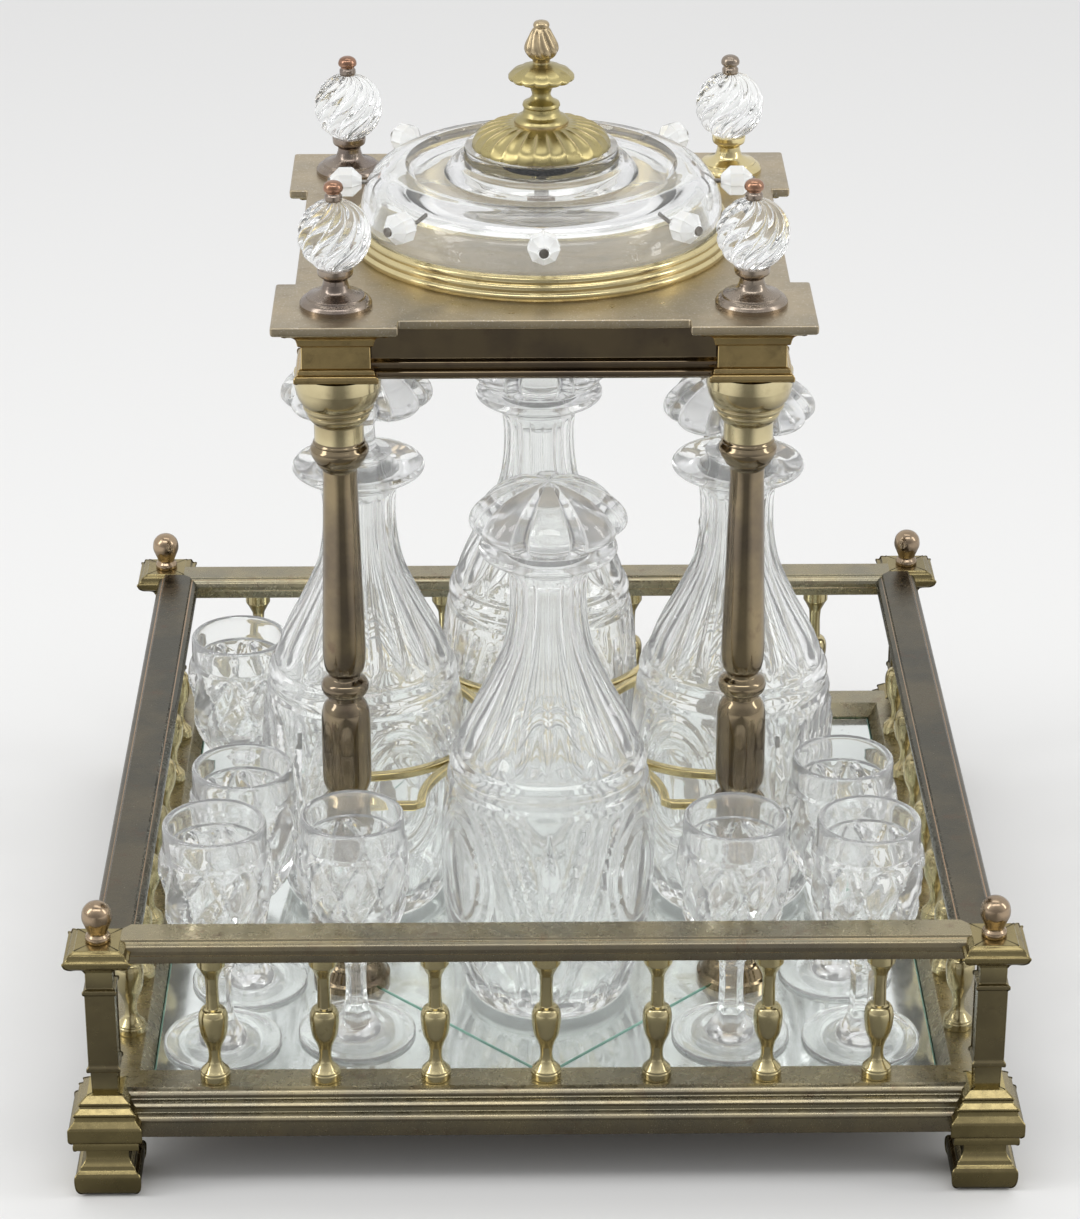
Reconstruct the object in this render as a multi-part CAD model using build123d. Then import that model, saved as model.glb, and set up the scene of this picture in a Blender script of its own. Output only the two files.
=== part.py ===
from build123d import *
import os

# Antique tantalus: a square brass tray with a balustrade, four columns carrying a canopy with a
# glass dome, four decanters with stoppers and seven goblets on a mirrored floor.
# Millimetres, +Z up, origin on the ground under the middle. The front faces -Y.

# ---- driving dimensions ----
LIFT = 3.5               # heights in this file count from 3.5 mm above the ground; write() adds this
FOOT_LOW = -LIFT
POST = 150.0             # corner posts and feet stand at (+-POST, +-POST)
COLUMN = 69.0            # columns stand at (+-COLUMN, +-COLUMN)
FLOOR = 29.0             # top of the mirror
MIRROR_THICK = 3.0
BOARD_THICK = 5.5
BOARD_LOW = FLOOR - MIRROR_THICK - BOARD_THICK
TRAY_IN = 135.6          # inner edge of the tray frame
LEDGE_IN = 130.0         # inner edge of the ledge that carries the board
TRAY_TOP = 34.2
TRAY_LOW = 18.3
PANE_GAP = 0.3
ROD_R = 2.4
ROD_HOLE = 2.5
NUT_TALL = 3.5

BLOCK_LOW = 15.2         # corner block, from the foot to the post
BLOCK_TOP = 34.8
POST_HALF = 5.1
POST_TOP = 81.8          # where the post meets its cap
CAP_TOP = 92.0
BALL_Z = 101.3
BALL_R = 5.1

RAIL_MID = 144.8         # middle line of the gallery rail
RAIL_TOP = 92.0
RAIL_LOW = 83.3
BALUSTER_MID = 144.4
BALUSTER_PITCH = 37.7
BALUSTERS = 7

COLUMN_LOW = 40.0
COLUMN_TOP = 239.5
COLLAR_R = 9.0           # drum on the column that the holder bands are pinned to
CANOPY_LOW = 264.0       # underside of beams and blocks, top of the capitals
SLAB_LOW = 283.5
CANOPY_TOP = 287.0
CANOPY_MID = 83.5        # half-width of the canopy slab between its corners
CORNER_HALF = 21.0       # half-width of its projecting corners, over the columns

RING_OUT = 67.0
RING_TOP = 295.0
DOME_R = 62.4
RING_IN = DOME_R + 0.6
GLASS = 5.0              # dome wall
GLASS_IN = DOME_R - GLASS
RIM_R = 47.0             # sharp rim between the dome's shoulder and its sunk floor
RIM_Z = 313.7
BOSS_R = 27.0
BOSS_TOP = 320.0
BOSS_LOW = 312.0         # underside of the glass where the finial rod goes through
BEADS = 8
BEAD_Z = 306.5
BEAD_MID = 67.6
BEAD_SIZE = 11.0
PIN_HOLE = 0.9
CAP_LOW = BOSS_TOP       # brass cap of the dome
CAP_CROWN = 328.0
BUD_LOW = 349.6
TOP = 364.1

SWIRL_MID = 311.8        # centre of the glass balls over the columns
SWIRL_R = 12.3
SWIRL_LOW = CANOPY_TOP + 13.4
SWIRL_TOP = 324.0

DECANTER_LIP = 202.5     # top of the decanter's lip
BORE_R = 7.6             # bore of a decanter's neck
PLUG_R = 7.3
PETALS = 8               # petals of a stopper's head
BODY_PLACES = {"front": (1.5, -72.0), "left": (-65.5, 0.0), "right": (70.5, 0.0), "back": (0.0, 70.0)}
STOPPER_RISE = {"front": 0.0, "left": 18.0, "right": 12.0, "back": 0.0}
PLUG_DEEP = {"front": 16.0, "left": 14.0, "right": 14.0, "back": 16.0}

GOBLET_TOP = 116.5
GOBLET_FOOT_R = 20.7
GOBLET_PLACES = {
    "corner_left": (-112.8, -112.8), "front_left": (-66.0, -107.0), "side_left": (-105.6, -71.0),
    "far_left": (-113.0, 35.0), "corner_right": (110.5, -112.8), "front_right": (65.0, -110.0),
    "side_right": (105.4, -67.0)}

BAND_MID = 64.0          # each holder band is a half circle about this distance from the middle
BAND_R = 43.3
BAND_WIDE = 3.2
BAND_LOW = 95.5
BAND_TOP = 98.5

CORNERS = [(sx, sy) for sx in (-1, 1) for sy in (-1, 1)]


# ---- helpers ----
def place(shape, x, y, z=0.0):
    return Pos(x, y, z) * shape


def at_corners(shape, spread):
    """One copy at each corner of a square of half-width spread, as separate solids."""
    return Compound(children=[place(shape, sx * spread, sy * spread) for sx, sy in CORNERS])


def four_sides(shape):
    """The front piece and its copies turned to the right, back and left."""
    return [Rot(0, 0, 90 * n) * shape for n in range(4)]


def runs_to_edges(runs):
    """Two points are a straight line, three an arc, and more are one smooth curve through them."""
    makers = {2: Line, 3: ThreePointArc}
    return [makers.get(len(run), Spline)(*run) for run in runs]


def turned(*runs):
    """Solid of revolution about Z. The runs of (radius, height) follow on from each other."""
    first = runs[0][0]
    last = runs[-1][-1]
    edges = runs_to_edges(runs)
    corners = [last, (0, last[1]), (0, first[1]), first]
    for a, b in zip(corners, corners[1:]):
        if a != b:
            edges.append(Line(a, b))
    return revolve(make_face([Plane.XZ * edge for edge in edges]), Axis.Z)


def ring_turned(*runs):
    """Like turned, for an outline that closes on itself and stays off the axis."""
    edges = runs_to_edges(runs)
    edges.append(Line(runs[-1][-1], runs[0][0]))
    return revolve(make_face([Plane.XZ * edge for edge in edges]), Axis.Z)


def square_turned(levels):
    """Square pier: levels of (half width, height), joined by straight slopes."""
    body = None
    for (low_half, low_z), (high_half, high_z) in zip(levels, levels[1:]):
        if abs(low_half - high_half) < 0.01:
            slice_ = Pos(0, 0, (low_z + high_z) / 2) * Box(2 * low_half, 2 * low_half, high_z - low_z)
        else:
            low = Pos(0, 0, low_z) * Rectangle(2 * low_half, 2 * low_half)
            high = Pos(0, 0, high_z) * Rectangle(2 * high_half, 2 * high_half)
            slice_ = loft([low, high], ruled=True)
        body = slice_ if body is None else body + slice_
    return body


def bored(shape, radius, low, high):
    """Drill a hole about Z between two heights."""
    return shape - Pos(0, 0, (low + high) / 2) * Cylinder(radius, high - low)


def front_rail(runs, half_length, taken=()):
    """Moulding along the front. Its section is in (distance from the middle, height), closed by a
    last straight line. The ends are mitred, and give way to the solids in taken."""
    edges = runs_to_edges(runs + [[runs[-1][-1], runs[0][0]]])
    section = make_face([Plane.YZ.offset(-half_length) * edge for edge in edges])
    rail = mirror(extrude(section, amount=2 * half_length, dir=(1, 0, 0)), Plane.XZ)
    wedge = make_face(Polyline((0, 0), (-400, -400), (400, -400), close=True))
    rail &= extrude(wedge, amount=400)
    for solid in taken:
        rail -= solid
    return rail


def reed(start, end, swell):
    """Half-round moulding from start to end, standing swell proud of the line between them."""
    (x0, z0), (x1, z1) = start, end
    length = ((x1 - x0) ** 2 + (z1 - z0) ** 2) ** 0.5
    crown = ((x0 + x1) / 2 - (z1 - z0) / length * swell, (z0 + z1) / 2 + (x1 - x0) / length * swell)
    return [start, crown, end]


def write(name, shape):
    """Write one node, lifted so that the feet stand on the ground."""
    export_step(Pos(0, 0, LIFT) * shape, f"parts/{name}.step")


def write_sides(name, shape):
    for side, piece in zip(("front", "right", "back", "left"), four_sides(shape)):
        write(f"{name}_{side}", piece)


# ---- tray ----
def tray_rail():
    """Brass rail: sloping inner edge, flat top, three reeds stepping out, a fascia and a ledge."""
    runs = [[(LEDGE_IN, TRAY_LOW), (LEDGE_IN, BOARD_LOW)], [(LEDGE_IN, BOARD_LOW), (TRAY_IN, BOARD_LOW)],
            [(TRAY_IN, BOARD_LOW), (TRAY_IN, 29.6)], [(TRAY_IN, 29.6), (139.2, TRAY_TOP)],
            [(139.2, TRAY_TOP), (150.1, TRAY_TOP)],
            reed((150.1, TRAY_TOP), (153.0, 32.1), 0.4), [(153.0, 32.1), (152.8, 30.8)],
            reed((152.8, 30.8), (155.2, 29.2), 0.3), [(155.2, 29.2), (155.0, 26.6)],
            reed((155.0, 26.6), (157.0, 24.5), 0.3), [(157.0, 24.5), (156.8, 24.0)],
            [(156.8, 24.0), (156.8, TRAY_LOW)]]
    blocks = [place(corner_block_body(), side * POST, -POST) for side in (-1, 1)]
    return front_rail(runs, POST - 6.0, blocks)


def corner_block_body():
    """Bead, cushion and two ledges that step in to the post."""
    return square_turned([(11.2, BLOCK_LOW), (11.2, 18.0), (12.2, 18.9), (12.7, 20.4), (12.7, 24.9),
                          (10.4, 27.1), (10.4, 28.0), (10.7, 28.6), (10.7, 29.5), (8.6, 31.1), (8.6, 31.7),
                          (8.9, 32.0), (8.9, 32.7), (6.6, BLOCK_TOP)])


def corner_block():
    return bored(corner_block_body(), ROD_HOLE, BLOCK_LOW, BLOCK_TOP)


def corner_foot():
    levels = [(7.5, FOOT_LOW), (9.6, -2.8), (10.8, -1.2), (11.4, 1.0), (11.4, 5.0), (10.6, 6.4), (9.0, 8.0),
              (8.0, 10.0), (7.4, 12.0), (7.4, 13.6), (8.6, 14.2), (8.6, BLOCK_LOW)]
    return bored(square_turned(levels), ROD_HOLE, FOOT_LOW + 3.0, BLOCK_LOW)


def post_body():
    thin = POST_HALF - 0.5
    band = POST_HALF + 0.7
    levels = [(thin - 0.2, BLOCK_TOP), (thin, 42.8), (band, 43.4), (band, 44.8), (POST_HALF, 45.6),
              (POST_HALF, 72.9), (band, 73.6), (band, 75.0), (thin, 75.8), (thin, POST_TOP)]
    return square_turned(levels)


def corner_post():
    return bored(post_body(), ROD_HOLE, BLOCK_TOP, POST_TOP)


def cap_body():
    """Undercut cap with a lip, a hollow and a flat top level with the rail."""
    levels = [(4.9, POST_TOP), (5.8, 83.4), (8.7, 85.0), (10.6, 86.6), (11.3, 88.0), (11.3, 89.1),
              (10.2, 89.5), (9.6, 90.9), (9.3, 91.2), (7.8, 91.7), (7.7, CAP_TOP)]
    return square_turned(levels)


def post_cap():
    return bored(cap_body(), ROD_HOLE, POST_TOP, CAP_TOP)


def post_ball():
    """Pear-shaped ball on a ring."""
    neck = 3.3
    ball = turned([(4.0, CAP_TOP), (4.25, CAP_TOP + 1.0)], [(4.25, CAP_TOP + 1.0), (4.1, CAP_TOP + 2.2)],
                  [(4.1, CAP_TOP + 2.2), (neck, CAP_TOP + 2.9)],
                  [(neck, CAP_TOP + 2.9), (4.0, 97.6), (BALL_R, BALL_Z), (3.6, BALL_Z + 3.6),
                   (0.0, BALL_Z + BALL_R)])
    return bored(ball, ROD_HOLE - 0.6, CAP_TOP, CAP_TOP + 5.0)


def post_rod():
    """Rod from the foot to the ball: its thin end screws into the ball."""
    step = CAP_TOP - 0.1
    return turned([(ROD_R, FOOT_LOW + 3.5), (ROD_R, step)], [(ROD_R, step), (1.8, step)],
                  [(1.8, step), (1.8, CAP_TOP + 4.6)])


def gallery_rail():
    """Top rail, alike on both sides: a flat strip, a curved shoulder, a lip and a plain bar."""
    half = [[(6.4, RAIL_LOW), (6.4, 86.6)], [(6.4, 86.6), (8.0, 87.2)], [(8.0, 87.2), (8.0, 89.6)],
            [(8.0, 89.6), (7.3, 90.9), (5.8, 91.4)], [(5.8, 91.4), (5.2, RAIL_TOP)]]
    inner = [[(RAIL_MID - x, z) for x, z in run] for run in half]
    outer = [[(RAIL_MID + x, z) for x, z in reversed(run)] for run in reversed(half)]
    strip = [[inner[-1][-1], outer[0][0]]]
    ends = [place(body, side * POST, -POST) for side in (-1, 1) for body in (cap_body(), post_body())]
    return front_rail(inner + strip + outer, POST - 2.0, ends)


def baluster():
    """Disc, flare, waist, vase with an abrupt shoulder, stem, cone and top ring."""
    low = TRAY_TOP
    return turned([(5.15, low), (5.15, 37.3)],
                  [(5.15, 37.3), (4.0, 38.5), (2.5, 40.4), (2.0, 43.4), (2.4, 46.5)],
                  [(2.4, 46.5), (3.1, 48.4), (4.45, 51.9), (5.05, 57.4), (3.6, 61.9)],
                  [(3.6, 61.9), (2.3, 62.3)], [(2.3, 62.3), (2.15, 70.0), (2.4, 74.3)],
                  [(2.4, 74.3), (4.3, 78.0)], [(4.3, 78.0), (4.9, 79.2)], [(4.9, 79.2), (4.9, RAIL_LOW)])


def balusters_front():
    middle = (BALUSTERS - 1) / 2
    row = [place(baluster(), (n - middle) * BALUSTER_PITCH, -BALUSTER_MID) for n in range(BALUSTERS)]
    return Compound(children=row)


def mirror_panes():
    """A diagonal square pane and four triangular ones, drilled for the tie rods."""
    thick = MIRROR_THICK
    reach = TRAY_IN - PANE_GAP
    half = Pos(0, 0, FLOOR - thick / 2)
    drills = at_corners(Pos(0, 0, FLOOR) * Cylinder(4.5, 20), COLUMN)
    whole = half * Box(2 * reach, 2 * reach, thick)
    diamond = half * (Rot(0, 0, 45) * Box(reach * 2 ** 0.5, reach * 2 ** 0.5, thick))
    grown = half * (Rot(0, 0, 45) * Box(reach * 2 ** 0.5 + PANE_GAP, reach * 2 ** 0.5 + PANE_GAP, 2 * thick))
    centre = (whole & diamond) - drills
    corners = whole - grown - drills
    return centre, Compound(children=corners.solids())


def base_board():
    """Thin board that carries the mirrors, drilled for the tie rods."""
    side = 2 * (TRAY_IN - PANE_GAP)
    top = FLOOR - MIRROR_THICK
    board = Pos(0, 0, top - BOARD_THICK / 2) * Box(side, side, BOARD_THICK)
    for sx, sy in CORNERS:
        board -= Pos(sx * COLUMN, sy * COLUMN, top) * Cylinder(ROD_HOLE, 3 * BOARD_THICK)
    return board


# ---- columns and canopy ----
def column_foot():
    foot = turned([(13.8, FLOOR), (13.8, FLOOR + 3.2)], [(13.8, FLOOR + 3.2), (12.4, FLOOR + 4.4)],
                  [(12.4, FLOOR + 4.4), (10.6, FLOOR + 7.6), (9.4, FLOOR + 9.0)],
                  [(9.4, FLOOR + 9.0), (9.4, COLUMN_LOW)])
    return bored(foot, ROD_HOLE, FLOOR, COLUMN_LOW)


def column():
    """Knop, lower vase, drum for the bands, upper vase, knop, tapering shaft and bell."""
    shaft = turned([(7.6, COLUMN_LOW), (7.6, 42.0)], [(7.6, 42.0), (5.8, 44.5)],
                   [(5.8, 44.5), (7.8, 48.0), (5.8, 51.5)],
                   [(5.8, 51.5), (7.4, 60.0), (8.2, 75.0), (7.0, 88.0)],
                   [(7.0, 88.0), (COLLAR_R, 92.0)],
                   [(COLLAR_R, 92.0), (COLLAR_R, 102.0)], [(COLLAR_R, 102.0), (6.6, 105.0)],
                   [(6.6, 105.0), (8.4, 110.0), (8.6, 122.0), (8.4, 134.5), (5.9, 142.5)],
                   [(5.9, 142.5), (8.3, 146.7), (5.5, 150.6)],
                   [(5.5, 150.6), (7.3, 156.0), (7.4, 166.0), (6.7, 190.0), (5.85, 225.0)],
                   [(5.85, 225.0), (6.8, 229.5)], [(6.8, 229.5), (9.6, 235.0), (8.5, COLUMN_TOP)])
    return bored(shaft, ROD_HOLE, COLUMN_LOW, COLUMN_TOP)


def column_capital():
    low = COLUMN_TOP
    capital = turned([(8.3, low), (8.3, 246.5)], [(8.3, 246.5), (11.8, 251.5)],
                     [(11.8, 251.5), (12.8, 255.0)], [(12.8, 255.0), (14.6, 260.0)],
                     [(14.6, 260.0), (14.6, CANOPY_LOW)])
    return bored(capital, ROD_HOLE, low, CANOPY_LOW)


def tie_rod():
    """Rod from under the board up into the finial's foot."""
    low = BOARD_LOW - NUT_TALL - 2.0
    high = CANOPY_TOP + 8.0
    return Pos(0, 0, (low + high) / 2) * Cylinder(ROD_R, high - low)


def hex_nut():
    return bored(extrude(RegularPolygon(4.6, 6), amount=NUT_TALL), ROD_HOLE, -1.0, NUT_TALL + 1.0)


def canopy_plate():
    """Slab with a square projection over each column, drilled for the tie rods."""
    thick = CANOPY_TOP - SLAB_LOW
    mid = (SLAB_LOW + CANOPY_TOP) / 2
    slab = Pos(0, 0, mid) * Box(2 * CANOPY_MID, 2 * CANOPY_MID, thick)
    for sx, sy in CORNERS:
        slab += Pos(sx * COLUMN, sy * COLUMN, mid) * Box(2 * CORNER_HALF, 2 * CORNER_HALF, thick)
        slab -= Pos(sx * COLUMN, sy * COLUMN, mid) * Cylinder(ROD_HOLE, 20)
    return slab


def canopy_block_body():
    return square_turned([(13.4, CANOPY_LOW), (14.2, 264.8), (14.2, 266.4), (12.8, 267.6), (12.8, 268.6),
                          (11.5, 269.4), (11.5, 276.6), (12.8, 278.0), (13.4, 279.6), (15.6, 281.6),
                          (17.6, 282.4), (17.6, SLAB_LOW)])


def canopy_corner_block():
    return bored(canopy_block_body(), ROD_HOLE, CANOPY_LOW, SLAB_LOW)


def canopy_beam():
    """Frieze under the slab's edge, with two reeds along its foot."""
    runs = [[(65.0, CANOPY_LOW), (65.0, SLAB_LOW)], [(65.0, SLAB_LOW), (80.0, SLAB_LOW)],
            [(80.0, SLAB_LOW), (78.8, 282.2)], [(78.8, 282.2), (76.0, 281.4)], [(76.0, 281.4), (76.0, 270.8)],
            [(76.0, 270.8), (76.8, 270.4)], reed((76.8, 270.4), (77.2, 267.6), 0.9),
            reed((77.2, 267.6), (78.0, 264.8), 1.0), [(78.0, 264.8), (77.4, CANOPY_LOW)]]
    blocks = [place(canopy_block_body(), side * COLUMN, -COLUMN) for side in (-1, 1)]
    return front_rail(runs, COLUMN - 5.0, blocks)


def dome_ring():
    """Brass ring of three reeds, stepping in as it rises."""
    z = CANOPY_TOP
    return ring_turned([(RING_IN, z), (RING_OUT - 0.6, z)],
                       [(RING_OUT - 0.6, z), (RING_OUT, z + 1.4), (RING_OUT - 1.2, z + 2.8)],
                       [(RING_OUT - 1.2, z + 2.8), (RING_OUT - 0.8, z + 4.0), (RING_OUT - 2.0, z + 5.2)],
                       [(RING_OUT - 2.0, z + 5.2), (RING_OUT - 1.7, z + 6.6), (RING_OUT - 3.0, RING_TOP)],
                       [(RING_OUT - 3.0, RING_TOP), (RING_IN, RING_TOP)])


def swirl_finial_foot():
    z = CANOPY_TOP
    foot = turned([(12.1, z), (12.1, z + 1.2)], [(12.1, z + 1.2), (11.0, z + 2.6)],
                  [(11.0, z + 2.6), (9.8, z + 3.2)], [(9.8, z + 3.2), (5.6, z + 5.0), (4.2, z + 8.0)],
                  [(4.2, z + 8.0), (4.2, z + 9.6)],
                  [(4.2, z + 9.6), (6.0, z + 12.0)], [(6.0, z + 12.0), (6.0, SWIRL_LOW)])
    return bored(foot, ROD_HOLE, z, z + 10.0)


def swirl_finial_ball():
    """Glass ball, ground flat where it meets the brass."""
    mid = (SWIRL_LOW + SWIRL_TOP) / 2
    ball = Pos(0, 0, SWIRL_MID) * Sphere(SWIRL_R)
    return ball & (Pos(0, 0, mid) * Box(40, 40, SWIRL_TOP - SWIRL_LOW))


def swirl_finial_knob():
    z = SWIRL_TOP
    return turned([(3.0, z), (3.0, z + 1.0)], [(3.0, z + 1.0), (2.3, z + 1.6)],
                  [(2.3, z + 1.6), (2.9, z + 3.2), (2.5, z + 4.2)], [(2.5, z + 4.2), (2.4, z + 5.6)],
                  [(2.4, z + 5.6), (1.2, z + 6.6)])


# ---- lid ----
def dome_outline():
    """Thick glass: round shoulder, sharp rim, sunk floor, stepped rise to a flat boss."""
    shoulder = [(DOME_R, 296.0), (DOME_R + 0.2, 299.5), (60.6, 306.0), (55.5, 311.3), (RIM_R, RIM_Z)]
    rise = [(33.5, 310.6), (31.6, 313.6), (28.2, 315.2)]
    inside = [(30.0, 306.2), (45.0, 305.6), (52.5, 304.0), (56.0, 299.0)]
    return [[(GLASS_IN, CANOPY_TOP), (DOME_R, CANOPY_TOP)], [(DOME_R, CANOPY_TOP), (DOME_R, 296.0)], shoulder,
            [(RIM_R, RIM_Z), (44.2, 310.8)], [(44.2, 310.8), (33.5, 310.6)], rise,
            [(28.2, 315.2), (BOSS_R, 316.4)], [(BOSS_R, 316.4), (BOSS_R - 0.6, BOSS_TOP)],
            [(BOSS_R - 0.6, BOSS_TOP), (ROD_HOLE, BOSS_TOP)], [(ROD_HOLE, BOSS_TOP), (ROD_HOLE, BOSS_LOW)],
            [(ROD_HOLE, BOSS_LOW), (21.0, BOSS_LOW)], [(21.0, BOSS_LOW), (30.0, 306.2)], inside,
            [(56.0, 299.0), (GLASS_IN, CANOPY_TOP)]]


def dome_glass():
    edges = runs_to_edges(dome_outline())
    glass = revolve(make_face([Plane.XZ * edge for edge in edges]), Axis.Z)
    for n in range(BEADS):
        hole = Pos(BEAD_MID - 10.0, 0, BEAD_Z) * Rot(0, 90, 0) * Cylinder(PIN_HOLE, 16.0)
        glass -= Rot(0, 0, 360 / BEADS * n) * hole
    return glass


def glass_bead():
    """Faceted bead: a cube with its edges and corners cut to flats."""
    cube = Box(BEAD_SIZE, BEAD_SIZE, BEAD_SIZE)
    bead = cube
    for turn in ((45, 0, 0), (0, 45, 0), (0, 0, 45)):
        bead &= Rot(*turn) * cube
    return bead - Rot(0, 90, 0) * Cylinder(PIN_HOLE, 2 * BEAD_SIZE)


def around(shape, count, radius, z):
    return Compound(children=[Rot(0, 0, 360 / count * n) * Pos(radius, 0, z) * shape for n in range(count)])


def bead_pin():
    shank = Rot(0, 90, 0) * Cylinder(0.8, 19.0)
    head = Pos(9.9, 0, 0) * Rot(0, 90, 0) * Cylinder(1.6, 0.8)
    return Pos(-4.0, 0, 0) * (shank + head)


def dome_cap():
    """Domed brass cap on the boss of the glass."""
    low = CAP_LOW
    cap = turned([(23.6, low), (24.0, low + 1.2)],
                 [(24.0, low + 1.2), (22.0, 324.2), (16.0, 326.8), (9.4, CAP_CROWN)])
    return bored(cap, ROD_HOLE, low, CAP_CROWN)


def finial_stem():
    low = CAP_CROWN
    stem = turned([(9.4, low), (9.2, low + 1.4)], [(9.2, low + 1.4), (6.4, 331.2), (6.0, 333.6)],
                  [(6.0, 333.6), (6.3, 335.2)], [(6.3, 335.2), (3.4, 337.0), (3.2, 338.6)],
                  [(3.2, 338.6), (4.4, 341.0), (8.0, 343.4), (11.4, 344.6)], [(11.4, 344.6), (11.4, 345.6)],
                  [(11.4, 345.6), (8.5, 347.0), (3.0, 348.2)], [(3.0, 348.2), (2.9, BUD_LOW)])
    return bored(stem, ROD_HOLE - 0.6, low, BUD_LOW)


def finial_bud():
    low = BUD_LOW
    bud = turned([(2.9, low), (3.3, low + 1.4)],
                 [(3.3, low + 1.4), (5.6, 353.4), (6.0, 356.2), (4.2, 360.0), (2.2, 362.2)],
                 [(2.2, 362.2), (2.0, 363.4), (0.9, TOP)])
    return bored(bud, ROD_HOLE - 0.6, low, low + 4.4)


def finial_rod():
    """Rod that draws the cap and finial down on the glass."""
    low = BOSS_LOW - 1.0 - NUT_TALL - 1.5
    neck = CAP_CROWN - 0.2
    return turned([(ROD_R, low), (ROD_R, neck)], [(ROD_R, neck), (1.8, neck)],
                  [(1.8, neck), (1.8, BUD_LOW + 4.2)])


def finial_nut():
    """Washer and nut under the glass."""
    washer = Pos(0, 0, BOSS_LOW - 0.5) * Cylinder(9.0, 1.0)
    nut = Pos(0, 0, BOSS_LOW - 1.0 - NUT_TALL) * hex_nut()
    return bored(washer, ROD_HOLE, BOSS_LOW - 2.0, BOSS_LOW + 1.0) + nut


# ---- holders and glassware ----
def holder_band():
    """Half circle open to the front, with an arm to each column."""
    half = BAND_WIDE / 2
    ring = Cylinder(BAND_R + half, BAND_TOP - BAND_LOW) - Cylinder(BAND_R - half, 3 * (BAND_TOP - BAND_LOW))
    back_half = Pos(0, 100, 0) * Box(200, 200, 20)
    band = ring & back_half
    reach = COLUMN - BAND_R + half
    for side in (-1, 1):
        band += Pos(side * (BAND_R - half + reach / 2), -half, 0) * Box(reach, BAND_WIDE, BAND_TOP - BAND_LOW)
    band = place(band, 0, -BAND_MID, (BAND_LOW + BAND_TOP) / 2)
    for side in (-1, 1):
        band -= Pos(side * COLUMN, -COLUMN, BAND_LOW) * Cylinder(COLLAR_R, 30)
    return band


def decanter():
    """Bottle with a swelling body, a long fluted neck and a wide flat lip."""
    lip = DECANTER_LIP
    outside = [(29.0, 31.0), (33.6, 45.0), (37.2, 70.0), (37.7, 88.0), (36.2, 108.0), (33.6, 123.0)]
    neck = [(33.6, 123.0), (27.0, 138.6), (18.8, 155.0), (14.1, 170.0), (13.2, 180.0), (14.6, 193.0)]
    inside = [(BORE_R, 185.0), (9.2, 168.0), (15.0, 152.0), (24.0, 135.0), (31.0, 115.0), (33.0, 88.0),
              (30.0, 50.0)]
    return turned([(0, FLOOR), (27.5, FLOOR)], [(27.5, FLOOR), (29.0, 31.0)], outside, neck,
                  [(14.6, 193.0), (22.8, 198.4)], [(22.8, 198.4), (23.7, 200.2), (22.8, 202.0)],
                  [(22.8, 202.0), (BORE_R + 0.8, lip)], [(BORE_R + 0.8, lip), (BORE_R, lip - 1.0)],
                  [(BORE_R, lip - 1.0), (BORE_R, 185.0)], inside, [(30.0, 50.0), (26.0, 37.5)],
                  [(26.0, 37.5), (0, 36.5)])


def petal_outline(tall):
    """Eight round lobes about a drum, to cut the stopper's head with."""
    lobes = Cylinder(18.0, tall)
    for n in range(PETALS):
        lobes += Rot(0, 0, 360 / PETALS * n) * Pos(19.4, 0, 0) * Cylinder(8.1, tall)
    return lobes


def stopper(rise, deep):
    """Petalled mushroom head, a knopped stem where it stands proud, and a ground plug."""
    z = DECANTER_LIP + 0.1
    head_low = z + rise
    runs = [[(PLUG_R - 0.6, z - deep), (PLUG_R, z - 2.0)]]
    if rise:
        runs += [[(PLUG_R, z - 2.0), (PLUG_R, z + 1.0)], [(PLUG_R, z + 1.0), (12.0, z + 2.0)],
                 [(12.0, z + 2.0), (12.0, z + 4.0)], [(12.0, z + 4.0), (6.4, z + 5.4)],
                 [(6.4, z + 5.4), (6.0, head_low - 2.0), (9.0, head_low + 1.0)],
                 [(9.0, head_low + 1.0), (22.0, head_low + 3.4)]]
    else:
        runs += [[(PLUG_R, z - 2.0), (PLUG_R, z)], [(PLUG_R, z), (19.0, z)], [(19.0, z), (22.0, z + 2.6)]]
    runs += [[runs[-1][-1], (26.4, head_low + 4.6)],
             [(26.4, head_low + 4.6), (27.0, head_low + 7.3), (24.4, head_low + 12.8),
              (15.0, head_low + 18.9), (0.0, head_low + 22.2)]]
    return turned(*runs) & (Pos(0, 0, z) * petal_outline(120.0))


def goblet():
    """Round bowl with a narrower rim band, on a short stem and a flat foot."""
    low = FLOOR
    top = GOBLET_TOP
    foot = GOBLET_FOOT_R
    outside = [(4.2, 62.0), (12.0, 69.5), (17.6, 84.0), (19.4, 98.0), (17.4, 107.2)]
    inside = [(15.6, 106.0), (17.2, 97.0), (15.4, 84.0), (10.6, 74.5), (0.0, 70.0)]
    return turned([(0, low), (foot, low)], [(foot, low), (foot, low + 1.6)],
                  [(foot, low + 1.6), (9.0, low + 3.6), (4.6, low + 9.0)], [(4.6, low + 9.0), (4.2, 62.0)],
                  outside,
                  [(17.4, 107.2), (17.2, top - 0.6)], [(17.2, top - 0.6), (16.6, top)],
                  [(16.6, top), (15.8, top - 0.6)], [(15.8, top - 0.6), (15.6, 106.0)], inside)


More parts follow.
